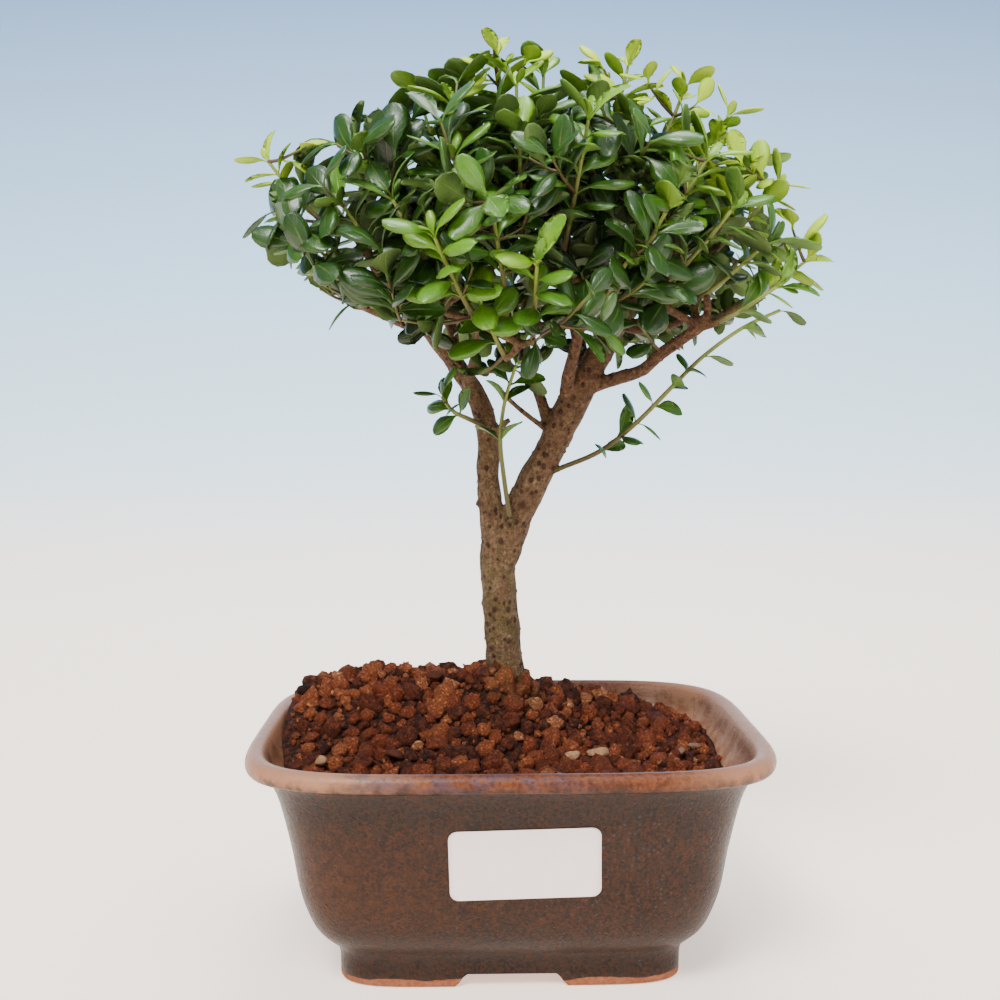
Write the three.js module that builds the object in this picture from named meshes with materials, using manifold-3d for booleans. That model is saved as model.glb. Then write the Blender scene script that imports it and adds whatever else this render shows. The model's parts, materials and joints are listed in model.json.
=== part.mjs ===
// A small indoor bonsai: a japanese holly tree in its glazed ceramic pot, in millimetres with +Z up.
// X runs along the pot's long side and -Y is its front. The pot stands on z = 0.

import * as THREE from "three";
import { mergeVertices } from "three/addons/utils/BufferGeometryUtils.js";
import Module from "manifold-3d";

const wasm = await Module();
wasm.setup();

// Clearances
const GAP = 0.3; // between pieces that touch
const LEAF_CLEARANCE = 2.1; // between sample points of leaves on different shoots
const OWN_CLEARANCE = 1.5; // between sample points of leaves on one shoot
const TWIG_CLEARANCE = 1.9; // from a leaf's sample points to the skin of a twig

// Pot: half widths of its outside by height, and the rounded bead on its rim
const OUTLINE_POINTS = 28;
const OUTER_WALL = [
  [47.6, 4],
  [48.5, 9.5],
  [52.5, 12.2],
  [55.6, 18.5],
  [57.9, 26],
  [60.2, 38],
  [63.4, 50],
  [66.2, 56],
];
const INNER_WALL = [
  [65.2, 58],
  [61.4, 52],
  [57.2, 42],
  [53.6, 27],
  [49.6, 13],
];
const BEAD = { halfWidth: 69.4, z: 61.7, radius: 2.6 };
const FLOOR = { halfWidth: 45, z: 9.5 };
const FOOT = { halfWidth: 47.5, inside: 38.5, height: 3.9 };
const FRONT_NOTCH = { floorWidth: 29, topWidth: 25 }; // open span between the feet, front and back
const SIDE_NOTCH = { floorWidth: 22, topWidth: 18 };
const DEPTH_DROP = { foot: 14.2, rim: 16.5 }; // half width less half depth
const CORNER_POWER = { foot: 7, rim: 4.65 }; // superellipse powers: a higher one has squarer corners
const DRAIN = { radius: 5.5, spacing: 46 };
const SCREEN = { size: 20, thickness: 1.1, bar: 1.6, holes: 3 };

// Label stuck to the front wall, with nothing printed on it
const LABEL = { width: 39.2, height: 19.4, thickness: 0.6, corner: 2.4, x: 3, z: 38.3, turn: 0.026 };

// Soil: its level along the walls, and the heaps on it: the broad one left of the trunk, two to the right
// and one against its bark. A heap of a higher power is flatter on top along x.
const SOIL_EDGE = 52.2;
const HEAPS = [
  { x: -30, y: 20, height: 22, spreadX: 44, spreadY: 27, power: 4 },
  { x: 27, y: 32, height: 12, spreadX: 19, spreadY: 19, power: 2 },
  { x: 53, y: 20, height: 4.2, spreadX: 14, spreadY: 24, power: 2 },
  { x: 0, y: 8, height: 7.5, spreadX: 12, spreadY: 12, power: 2 },
];
const GRAIN = { pitch: 4.75, raised: 2.1, spread: 1.3, jitter: 0.8 };

// Trunk: the foot that stands in the soil
const STUMP = { x: -0.3, y: 14, bottom: 34, top: 67, radius: 6.4, tipRadius: 3.4 };

// Limbs: x, y, z and radius at each point, and the number of sides
const LIMBS = [
  {
    sides: 10,
    points: [
      [-0.3, 14, 66, 6.4],
      [-0.3, 14, 73.5, 6.2],
      [-0.6, 13.5, 80, 5.6],
      [-1.6, 12.5, 91, 5.4],
      [-2.6, 12, 103, 5.3],
      [-2.7, 12, 113, 5.3],
      [-2.6, 12, 119, 4.6],
    ],
  },
  {
    sides: 8,
    points: [
      [-1.6, 12, 110, 4.7],
      [1.2, 11.9, 118.5, 4.9],
      [4.4, 11, 126.6, 4.8],
      [8.8, 10, 135.6, 4.7],
      [13.1, 9, 144.5, 4.5],
      [17.4, 8, 153.3, 4.8],
      [22, 7, 162, 4.3],
      [27.1, 6, 171.7, 3.8],
      [31.7, 6, 181, 3.4],
      [37.6, 7, 189.7, 3],
      [42.6, 9, 198, 2.3],
      [44.5, 10, 209, 1.8],
    ],
  },
  {
    sides: 7,
    points: [
      [-3.3, 12, 111, 4],
      [-4.6, 12, 122, 3.7],
      [-5.6, 13, 134, 3.5],
      [-5.6, 15, 146, 3.4],
      [-7.4, 17, 155.5, 3.2],
      [-11.5, 18, 163, 3],
      [-16.9, 19, 171, 2.7],
      [-23, 20, 178.4, 2.5],
      [-29, 21, 185, 2.2],
      [-36.3, 20, 192, 1.9],
      [-41, 14, 201, 1.6],
      [-47, 10, 209, 1.3],
    ],
  },
  {
    sides: 6,
    points: [
      [23, 7, 161, 2.2],
      [30, 4, 163.5, 2],
      [38, 0, 166, 1.9],
      [43.6, -4, 171, 1.8],
      [53.6, -8, 178, 1.6],
    ],
  },
  {
    sides: 5,
    points: [
      [33.5, 6, 183, 2],
      [39.5, 3, 189, 1.8],
      [44.4, -1, 195, 1.6],
      [48.5, -5, 204, 1.3],
    ],
  },
  {
    sides: 5,
    points: [
      [12.3, 9, 149, 1.9],
      [10.4, 10.5, 157, 1.7],
      [6, 14, 168, 1.6],
      [1.3, 18, 179, 1.5],
      [-1.6, 22, 192, 1.3],
    ],
  },
  {
    sides: 5,
    points: [
      [17, 8, 156, 2.1],
      [17.6, 0, 166, 1.9],
      [19.5, -9, 177, 1.6],
      [20.6, -18, 189, 1.3],
    ],
  },
  {
    sides: 5,
    points: [
      [-25.7, 20, 179, 1.8],
      [-34, 15, 182, 1.6],
      [-44, 10, 186, 1.3],
    ],
  },
  {
    sides: 5,
    points: [
      [-31.6, 21, 190, 1.9],
      [-31.2, 18, 202, 1.6],
      [-31, 14, 215, 1.3],
    ],
  },
  {
    sides: 5,
    points: [
      [-11.8, 17.5, 162, 1.7],
      [-9.4, 9, 171, 1.5],
      [-7.6, 0, 180, 1.3],
    ],
  },
  {
    sides: 5,
    points: [
      [23, 8, 165, 2.4],
      [22, 17, 175, 2],
      [20, 26, 187, 1.7],
      [20, 33, 201, 1.3],
    ],
  },
  {
    sides: 5,
    points: [
      [-14, 19, 167, 1.9],
      [-16, 28, 177, 1.6],
      [-17, 36, 189, 1.3],
    ],
  },
  {
    sides: 5,
    points: [
      [39.5, 8.5, 193, 2],
      [45, 18, 198, 1.7],
      [50, 27, 205, 1.3],
    ],
  },
];

// Leafy shoots on the crown: x, y and z that its end leaves reach, stem length, leaf pairs, leaf length
const MATURE_SHOOTS = [
  [-47, -16, 212, 27, 3, 13],
  [-40, -8, 226, 27, 3, 13.5],
  [-35, 4, 238, 28, 3, 13],
  [-26, 8, 247, 25, 2, 13.5],
  [-16, -12, 240, 28, 3, 14],
  [2, -4, 248, 28, 3, 13],
  [11, 16, 256, 27, 3, 13],
  [20, -34, 232, 38, 4, 14.5],
  [23, 2, 244, 23, 2, 14],
  [72, 12, 229, 27, 3, 13],
  [55, -16, 225, 27, 3, 13.5],
  [62, -18, 211, 26, 3, 13],
  [74, -10, 203, 22, 2, 14.5],
  [76, -15, 190, 17, 2, 12.5],
  [-6, -38, 210, 28, 3, 14],
  [-21, -42, 200, 27, 3, 13.5],
  [6, -42, 193, 26, 3, 13.5],
  [43, -24, 210, 27, 3, 14],
  [-57, 2, 203, 22, 2, 12.5],
  [-64, 10, 213, 24, 3, 12],
  [-33, -24, 213, 28, 3, 14],
  [-16, -27, 223, 27, 3, 14.5],
  [36, -12, 233, 28, 3, 14],
  [2, -24, 229, 28, 3, 14],
  [59, 8, 199, 22, 2, 13],
  [-52, 2, 195, 15, 2, 12],
  [-9, -29, 184, 20, 2, 13],
  [32, -27, 196, 20, 2, 13],
  [46, 10, 234, 24, 2, 13.5],
  [-55, 30, 221, 27, 3, 13],
  [-36, 46, 207, 27, 3, 13],
  [-38, 27, 238, 27, 3, 13.5],
  [-18, 50, 224, 27, 3, 14],
  [-18, 28, 247, 27, 3, 13.5],
  [-2, 42, 238, 27, 3, 13],
  [2, 60, 212, 27, 3, 14],
  [24, 36, 249, 27, 3, 13.5],
  [20, 56, 230, 27, 3, 13],
  [28, 64, 207, 26, 3, 14],
  [44, 46, 232, 27, 3, 13.5],
  [50, 59, 205, 26, 3, 13],
  [60, 30, 235, 27, 3, 13.5],
  [69, 42, 213, 26, 3, 13],
  [79, 22, 208, 24, 3, 13],
];
const YOUNG_SHOOTS = [
  [-69, -2, 226, 22, 3, 10],
  [-3, 8, 259, 22, 3, 10.5],
  [35, 5, 255, 22, 3, 11],
  [51, 0, 248, 22, 3, 9.5],
  [63, -2, 239, 22, 3, 10],
  [78, -2, 220, 22, 3, 10.5],
  [86, -4, 198, 20, 3, 10],
];
const CROWN_FOCUS = new THREE.Vector3(6, 6, 166); // the shoots grow away from here
const UPWARD_PULL = 0.25;
const END_REACH = 0.25; // how far the end leaves reach past the stem, as a share of their length
const SHOOT_SAG = 0.07; // how far a shoot hangs below the straight line, as a share of its length
const FIRST_PAIR = 0.3; // where the lowest pair sits along a shoot
const ROOT_HEIGHT = 0.9; // height of a leaf's root on the stem
const SHOOT_RADIUS = { base: 0.8, tip: 0.5 };

// Twigs between the limbs and the shoots
const TWIG_RADIUS = { base: 1.3, tip: 0.95 };
const TWIG_STEP = 13; // longest segment
const TWIG_LEAST = 5; // shortest distance from where a twig starts to its shoot
const TWIG_CLIMB = { rise: 5, cost: 1.2 }; // a start less than this far below its shoot costs extra
const TWIG_LEAD = 0.45; // length of the run into the shoot's own direction, as a share of the twig
const STEM_GAP = 0.65; // between the end of a twig and the slanted foot of its shoot

// Shoots low on the tree: leaf length, the points that bear leaves, the root in a limb, points of the stem
const LOW_SHOOTS = [
  {
    name: "long_shoot",
    leaf: 8.5,
    leavesAt: [1, 2, 3, 4, 5, 6],
    root: [9.2, 9.9, 136.2],
    points: [
      [16, 6, 138],
      [26.3, -2, 143],
      [36, -6, 151],
      [45, -9, 160.5],
      [54, -10, 169.5],
      [65, -10, 177.5],
      [76, -8, 182.6],
    ],
  },
  {
    name: "low_left_shoot",
    leaf: 9,
    leavesAt: [2, 3],
    root: [-6, 15.5, 149],
    points: [
      [-8.6, 10.6, 151],
      [-12, 7, 152.5],
      [-16, 4, 154.5],
      [-19, 2, 158.5],
    ],
  },
  {
    name: "fork_shoot",
    leaf: 9,
    leavesAt: [2, 3, 4],
    root: [1.4, 10.5, 119.5],
    points: [
      [0.4, 4.6, 125],
      [-1, 3, 134],
      [-2.2, 2, 146],
      [-1, 1, 157],
      [2, -1, 167],
    ],
  },
];

// Leaf blade: shape by share of its length and width
const LEAF = { width: 0.62, thickness: 0.66, root: 0.45, curl: 0.42, droop: 1.35, fold: 0.24 };
const LEAF_STATIONS = [
  [0.38, 0.43],
  [0.78, 0.43],
];
const LEAF_TILT = { side: 0.55, end: 0.8 }; // radians up from square to the stem
const LEAF_SPREAD = { turn: 0.5, tilt: 0.35, least: 1, most: 1.2 }; // seeded differences between leaves
const END_LEAF = 0.9; // size of a shoot's last pair
const SKYWARD = 0.15; // how far blades turn to face up
const DODGES = [0, 0.35, -0.35, 0.7, -0.7]; // turns tried in order to clear other leaves
const LIFTS = [0, 0.3, -0.3]; // tilts tried in order
const BLADE_SAMPLES = {
  shares: [0.22, 0.36, 0.5, 0.64, 0.78, 0.9, 1],
  sides: [-1, -0.5, 0, 0.5, 1],
  middle: 17,
};
const FAR_APART = 20; // between the middles of two blades that can't touch

const COLOURS = {
  glaze: { color: 0x6b4630, roughness: 0.35, metalness: 0 },
  soil: { color: 0x6e3422, roughness: 0.95, metalness: 0 },
  bark: { color: 0x8a7a66, roughness: 0.85, metalness: 0 },
  mature: { color: 0x2f6b33, roughness: 0.35, metalness: 0 },
  young: { color: 0x8fc247, roughness: 0.4, metalness: 0 },
  label: { color: 0xf4f2ef, roughness: 0.5, metalness: 0 },
  screen: { color: 0x2b2b2b, roughness: 0.6, metalness: 0 },
};

// Seeded draws from 0 to 1
function seeded(seed) {
  const modulus = 2147483647;
  let state = (seed * 7919 + 104729) % modulus;
  return () => {
    state = (state * 48271) % modulus;
    return state / modulus;
  };
}

function mix(a, b, share) {
  return a + (b - a) * share;
}

// Geometry to solid and back

function solidOf(geometry) {
  const bare = geometry.clone();
  bare.deleteAttribute("normal");
  bare.deleteAttribute("uv");
  const merged = mergeVertices(bare, 1e-5);
  const vertProperties = merged.getAttribute("position").array;
  const triVerts = new Uint32Array(merged.getIndex().array);
  return new wasm.Manifold(new wasm.Mesh({ numProp: 3, vertProperties, triVerts }));
}

function geometryOf(solid) {
  const mesh = solid.getMesh();
  const geometry = new THREE.BufferGeometry();
  geometry.setAttribute("position", new THREE.BufferAttribute(mesh.vertProperties, 3));
  geometry.setIndex(new THREE.BufferAttribute(mesh.triVerts, 1));
  geometry.computeVertexNormals();
  return geometry;
}

function geometryFrom(points, triangles) {
  const geometry = new THREE.BufferGeometry();
  geometry.setFromPoints(points);
  geometry.setIndex(triangles.flat());
  return geometry;
}

// A closed skin through rings of equal length, each counterclockwise seen against the way they advance
function loft(rings) {
  const count = rings[0].length;
  const triangles = [];
  for (let i = 1; i < count - 1; i++) {
    const last = (rings.length - 1) * count;
    triangles.push([0, i + 1, i], [last, last + i, last + i + 1]);
  }
  for (let ring = 0; ring < rings.length - 1; ring++) {
    for (let i = 0; i < count; i++) {
      const next = (i + 1) % count;
      const low = ring * count;
      const high = low + count;
      triangles.push([low + i, low + next, high + next], [low + i, high + next, high + i]);
    }
  }
  return geometryFrom(rings.flat(), triangles);
}

function meshOf(name, solid, colour) {
  const mesh = new THREE.Mesh(geometryOf(solid), new THREE.MeshStandardMaterial(COLOURS[colour]));
  mesh.name = name;
  return mesh;
}

// Pot

// One level of the pot: a superellipse whose corners and depth change with height
function potOutline(halfWidth, z) {
  const share = Math.min(z / BEAD.z, 1);
  const halfDepth = halfWidth - mix(DEPTH_DROP.foot, DEPTH_DROP.rim, share);
  const bend = 2 / mix(CORNER_POWER.foot, CORNER_POWER.rim, share);
  const points = [];
  for (let i = 0; i < OUTLINE_POINTS; i++) {
    const angle = (2 * Math.PI * i) / OUTLINE_POINTS;
    const along = Math.cos(angle);
    const across = Math.sin(angle);
    const x = halfWidth * Math.sign(along) * Math.abs(along) ** bend;
    const y = halfDepth * Math.sign(across) * Math.abs(across) ** bend;
    points.push(new THREE.Vector3(x, y, z));
  }
  return points;
}

function beadOutlines() {
  const angles = [-70, -20, 35, 95, 165];
  return angles.map((degrees) => {
    const angle = THREE.MathUtils.degToRad(degrees);
    const halfWidth = BEAD.halfWidth + BEAD.radius * Math.cos(angle);
    return potOutline(halfWidth, BEAD.z + BEAD.radius * Math.sin(angle));
  });
}

// The open span between two feet, as a bar that runs right across under the pot
function notchSolid({ floorWidth, topWidth }, length) {
  const shape = new THREE.Shape([
    new THREE.Vector2(-floorWidth / 2 - 1, -1),
    new THREE.Vector2(floorWidth / 2 + 1, -1),
    new THREE.Vector2(topWidth / 2, FOOT.height),
    new THREE.Vector2(-topWidth / 2, FOOT.height),
  ]);
  const bar = new THREE.ExtrudeGeometry(shape, { depth: length, bevelEnabled: false });
  bar.translate(0, 0, -length / 2);
  bar.rotateX(Math.PI / 2);
  return bar;
}

function drainPlaces() {
  return [-DRAIN.spacing / 2, DRAIN.spacing / 2];
}

function potSolid() {
  const rings = [
    potOutline(FOOT.inside - 0.5, FOOT.height),
    potOutline(FOOT.inside, 0),
    potOutline(FOOT.halfWidth, 0),
    ...OUTER_WALL.map(([halfWidth, z]) => potOutline(halfWidth, z)),
    ...beadOutlines(),
    ...INNER_WALL.map(([halfWidth, z]) => potOutline(halfWidth, z)),
    potOutline(FLOOR.halfWidth, FLOOR.z),
  ];
  let pot = solidOf(loft(rings));
  const reach = 2 * BEAD.halfWidth;
  pot = pot.subtract(solidOf(notchSolid(FRONT_NOTCH, reach)));
  pot = pot.subtract(solidOf(notchSolid(SIDE_NOTCH, reach).rotateZ(Math.PI / 2)));
  for (const x of drainPlaces()) {
    const hole = new THREE.CylinderGeometry(DRAIN.radius, DRAIN.radius, 2 * FLOOR.z, 12);
    pot = pot.subtract(solidOf(hole.rotateX(Math.PI / 2).translate(x, 0, FLOOR.z)));
  }
  return pot;
}

// Plastic mesh that keeps the soil in over a drain hole: bars that cross in one plane
function screenSolid(x) {
  const { size, thickness, bar, holes } = SCREEN;
  const z = FLOOR.z + GAP + thickness / 2;
  const bars = [];
  for (let i = 0; i <= holes; i++) {
    const place = mix((bar - size) / 2, (size - bar) / 2, i / holes);
    bars.push(new THREE.BoxGeometry(size, bar, thickness).translate(x, place, z));
    bars.push(new THREE.BoxGeometry(bar, size, thickness).translate(x + place, 0, z));
  }
  return bars.map(solidOf).reduce((whole, part) => whole.add(part));
}

// Soil

function soilHeight(x, y) {
  const lifts = HEAPS.map((heap) => {
    const along = Math.abs((x - heap.x) / heap.spreadX) ** heap.power;
    return heap.height * Math.exp(-along - ((y - heap.y) / heap.spreadY) ** 2);
  });
  return lifts.reduce((height, lift) => height + lift, SOIL_EDGE);
}

// A block under a net of triangles in which every third point is raised into a grain
function grainBlock() {
  const draw = seeded(5);
  const halfColumns = Math.ceil(BEAD.halfWidth / GRAIN.pitch);
  const rowPitch = GRAIN.pitch * Math.sin(Math.PI / 3);
  const halfRows = Math.ceil((BEAD.halfWidth - DEPTH_DROP.foot) / rowPitch);
  const columns = 2 * halfColumns + 1;
  const top = [];
  const bottom = [];
  const triangles = [];
  for (let row = -halfRows; row <= halfRows; row++) {
    const odd = Math.abs(row) % 2;
    for (let column = -halfColumns; column <= halfColumns; column++) {
      const x = (column + odd / 2) * GRAIN.pitch + (draw() - 0.5) * GRAIN.jitter;
      const y = row * rowPitch + (draw() - 0.5) * GRAIN.jitter;
      const isGrain = (column + 2 * odd) % 3 === 0;
      const lift = (isGrain ? GRAIN.raised : 0) + (draw() - 0.5) * GRAIN.spread;
      top.push(new THREE.Vector3(x, y, soilHeight(x, y) + lift));
      bottom.push(new THREE.Vector3(x, y, 0));
    }
  }
  const under = top.length;
  for (let row = 0; row < 2 * halfRows; row++) {
    const odd = (row + halfRows) % 2;
    for (let column = 0; column < columns - 1; column++) {
      const near = row * columns + column;
      const far = near + columns;
      const pair = odd
        ? [[near, near + 1, far + 1], [near, far + 1, far]]
        : [[near, near + 1, far], [near + 1, far + 1, far]];
      for (const [a, b, c] of pair) {
        triangles.push([a, b, c], [a + under, c + under, b + under]);
      }
    }
  }
  const border = [];
  for (let column = 0; column < columns - 1; column++) border.push(column);
  for (let row = 0; row < 2 * halfRows; row++) border.push((row + 1) * columns - 1);
  for (let column = columns - 1; column > 0; column--) border.push(2 * halfRows * columns + column);
  for (let row = 2 * halfRows; row > 0; row--) border.push(row * columns);
  border.forEach((a, i) => {
    const b = border[(i + 1) % border.length];
    triangles.push([a + under, b + under, b], [a + under, b, a]);
  });
  return solidOf(geometryFrom([...top, ...bottom], triangles));
}

function soilSolid() {
  const levels = [...INNER_WALL, [FLOOR.halfWidth, FLOOR.z + GAP]].reverse();
  const rings = levels.map(([halfWidth, z]) => potOutline(halfWidth - 1.2 * GAP, z));
  const [rimWidth] = INNER_WALL[0];
  const lid = potOutline(rimWidth - 1.2 * GAP, INNER_WALL[0][1]);
  rings.push(lid.map((point) => point.clone().setZ(2 * BEAD.z)));
  let soil = solidOf(loft(rings)).intersect(grainBlock());
  soil = soil.subtract(stumpSolid(GAP + 0.1));
  soil = soil.subtract(solidOf(tube(LIMBS[0].points.slice(0, 3), 16, 2 * GAP)));
  const pocketSize = SCREEN.size + 2 * GAP;
  const pocketHeight = 2 * (SCREEN.thickness + 2 * GAP);
  for (const x of drainPlaces()) {
    const pocket = new THREE.BoxGeometry(pocketSize, pocketSize, pocketHeight);
    soil = soil.subtract(solidOf(pocket.translate(x, 0, FLOOR.z + GAP)));
  }
  return soil;
}

// Stems

// Two directions square to a path, kept for its whole length
function sideAxes(from, to, tangent) {
  const run = to.clone().sub(from).normalize();
  const keep = Math.abs(run.y) < 0.8 ? new THREE.Vector3(0, 1, 0) : new THREE.Vector3(1, 0, 0);
  const first = keep.clone().cross(tangent).normalize();
  return [first, tangent.clone().cross(first)];
}

function tangentAt(points, i) {
  const before = points[Math.max(i - 1, 0)];
  const after = points[Math.min(i + 1, points.length - 1)];
  return after.clone().sub(before).normalize();
}

// A round stem through points that carry their radius
function tube(stations, sides, grow = 0) {
  const points = stations.map(([x, y, z]) => new THREE.Vector3(x, y, z));
  const rings = points.map((centre, i) => {
    const [first, second] = sideAxes(points[0], points.at(-1), tangentAt(points, i));
    const ring = [];
    for (let side = 0; side < sides; side++) {
      const angle = (2 * Math.PI * side) / sides;
      const radius = stations[i][3] + grow;
      const point = centre.clone().addScaledVector(first, radius * Math.cos(angle));
      ring.push(point.addScaledVector(second, radius * Math.sin(angle)));
    }
    return ring;
  });
  return loft(rings);
}

// The trunk's foot, turned about its own axis
function stumpSolid(grow = 0) {
  const profile = [
    new THREE.Vector2(0, STUMP.bottom - grow),
    new THREE.Vector2(STUMP.tipRadius + grow, STUMP.bottom - grow),
    new THREE.Vector2(STUMP.radius + grow, STUMP.bottom + 12),
    new THREE.Vector2(STUMP.radius + grow, STUMP.top),
    new THREE.Vector2(0, STUMP.top),
  ];
  const turned = new THREE.LatheGeometry(profile, 10);
  return solidOf(turned.rotateX(Math.PI / 2).translate(STUMP.x, STUMP.y, 0));
}

function curvePoint(from, handle, to, share) {
  const rest = 1 - share;
  return from
    .clone()
    .multiplyScalar(rest * rest)
    .addScaledVector(handle, 2 * rest * share)
    .addScaledVector(to, share * share);
}

// Where each crown shoot starts, and the way it sags on its course to the tip
function crownShoot([x, y, z, length, pairs, leaf], index, kind) {
  const tip = new THREE.Vector3(x, y, z);
  const away = tip.clone().sub(CROWN_FOCUS);
  const pull = UPWARD_PULL * away.length();
  const grow = away.add(new THREE.Vector3(0, 0, pull)).normalize();
  tip.addScaledVector(grow, -END_REACH * leaf);
  const base = tip.clone().addScaledVector(grow, -length);
  const handle = base.clone().lerp(tip, 0.5);
  handle.z -= SHOOT_SAG * length;
  const points = [base];
  const spots = [];
  for (let pair = 0; pair < pairs; pair++) {
    points.push(curvePoint(base, handle, tip, mix(FIRST_PAIR, 1, pair / (pairs - 1))));
    spots.push(pair + 1);
  }
  return { name: `${kind}_shoot_${index + 1}`, kind, points, spots, leaf };
}

function lowShoot({ name, leaf, leavesAt, root, points }) {
  const along = points.map(([x, y, z]) => new THREE.Vector3(x, y, z));
  const start = new THREE.Vector3(...root);
  return { name, kind: "mature", root: start, points: along, spots: leavesAt, leaf };
}

// A brown twig from the nearest limb or earlier twig to the base of each crown shoot
function growTwigs(shoots) {
  const joints = LIMBS.flatMap(({ points }, limb) => {
    const free = points.slice(limb < 3 ? 5 : 1); // no twigs on the bare lower stretch
    return free.map(([x, y, z]) => new THREE.Vector3(x, y, z));
  });
  return shoots.map((shoot) => {
    const [base, next] = shoot.points;
    const grow = next.clone().sub(base).normalize();
    let start = shoot.root;
    let least = Infinity;
    for (const joint of shoot.root ? [] : joints) {
      const distance = joint.distanceTo(base);
      const cost = distance + TWIG_CLIMB.cost * Math.max(0, joint.z + TWIG_CLIMB.rise - base.z);
      if (distance > TWIG_LEAST && cost < least) {
        start = joint;
        least = cost;
      }
    }
    const length = start.distanceTo(base);
    const end = base.clone().addScaledVector(grow, -STEM_GAP);
    const handle = end.clone().addScaledVector(grow, -TWIG_LEAD * length);
    const steps = Math.max(2, Math.ceil(length / TWIG_STEP));
    const twig = [];
    for (let step = 0; step <= steps; step++) {
      const point = curvePoint(start, handle, end, step / steps);
      const radius = mix(TWIG_RADIUS.base, TWIG_RADIUS.tip, step / steps);
      twig.push([point.x, point.y, point.z, radius]);
      if (step > 0 && step < steps) joints.push(point);
    }
    return twig;
  });
}

// Leaves

// A leaf's frame: it leaves the stem at a turn about it, tilts up along it, and faces its tip
function leafFrame(shoot, spot, turn, tilt, size) {
  const tangent = tangentAt(shoot.points, spot);
  const [first, second] = sideAxes(shoot.points[0], shoot.points.at(-1), tangent);
  const out = first.multiplyScalar(Math.cos(turn)).addScaledVector(second, Math.sin(turn));
  const along = out.multiplyScalar(Math.cos(tilt)).addScaledVector(tangent, Math.sin(tilt));
  const face = tangent.clone().add(new THREE.Vector3(0, 0, SKYWARD));
  face.addScaledVector(along, -face.dot(along)).normalize();
  const across = face.clone().cross(along);
  return { root: shoot.points[spot], along, across, face, length: size };
}

// A point of the blade's upper skin: share of the length, signed share of the half width there
function leafPoint(leaf, share, side, halfWidth) {
  const arch = LEAF.curl * leaf.length * (share - LEAF.droop * share * share);
  const rise = arch - LEAF.fold * Math.abs(side) * halfWidth;
  return leaf.root
    .clone()
    .addScaledVector(leaf.along, share * leaf.length)
    .addScaledVector(leaf.across, side * halfWidth)
    .addScaledVector(leaf.face, rise);
}

function bladeHalfWidth(leaf, share) {
  const [[lowShare, lowWidth], [highShare, highWidth]] = LEAF_STATIONS;
  const full = LEAF.width * leaf.length;
  if (share < lowShare) return mix(LEAF.root, full * lowWidth, share / lowShare);
  if (share < highShare) return full * mix(lowWidth, highWidth, (share - lowShare) / (highShare - lowShare));
  return full * mix(highWidth, 0, (share - highShare) / (1 - highShare));
}

function leafSamples(leaf) {
  const samples = [];
  for (const share of BLADE_SAMPLES.shares) {
    const halfWidth = bladeHalfWidth(leaf, share);
    for (const side of BLADE_SAMPLES.sides) {
      samples.push(leafPoint(leaf, share, side, halfWidth));
    }
  }
  return samples;
}

// Adds a blade to a skin: it starts from four corners on the stem, upper left and right, lower left and right
function addBlade(vertices, triangles, leaf, [upLeft, upRight, lowLeft, lowRight]) {
  const drop = leaf.face.clone().multiplyScalar(-LEAF.thickness);
  const add = (share, side) => {
    const point = leafPoint(leaf, share, side, bladeHalfWidth(leaf, share));
    vertices.push(point, point.clone().add(drop));
    return vertices.length - 2;
  };
  const [low, high] = LEAF_STATIONS.map(([share]) => share);
  const [left, right] = [add(low, 1), add(low, -1)];
  const [farLeft, farRight, tip] = [add(high, 1), add(high, -1), add(1, 0)];
  const rib = vertices.push(leafPoint(leaf, low, 0, 0)) - 1;
  const farRib = vertices.push(leafPoint(leaf, high, 0, 0)) - 1;
  triangles.push([upLeft, upRight, rib], [upLeft, rib, left], [upRight, right, rib]);
  triangles.push([left, rib, farRib], [left, farRib, farLeft]);
  triangles.push([rib, right, farRight], [rib, farRight, farRib]);
  triangles.push([farLeft, farRib, tip], [farRib, farRight, tip]);
  triangles.push([lowLeft, left + 1, lowRight], [lowRight, left + 1, right + 1]);
  triangles.push([left + 1, farLeft + 1, right + 1], [right + 1, farLeft + 1, farRight + 1]);
  triangles.push([farLeft + 1, tip + 1, farRight + 1]);
  const leftEdge = [[upLeft, lowLeft], [left, left + 1], [farLeft, farLeft + 1], [tip, tip + 1]];
  const rightEdge = [[tip, tip + 1], [farRight, farRight + 1], [right, right + 1], [upRight, lowRight]];
  for (const edge of [leftEdge, rightEdge]) {
    for (let i = 1; i < edge.length; i++) {
      const [[upper, lower], [nextUpper, nextLower]] = [edge[i - 1], edge[i]];
      triangles.push([upper, nextUpper, nextLower], [upper, nextLower, lower]);
    }
  }
}

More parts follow.
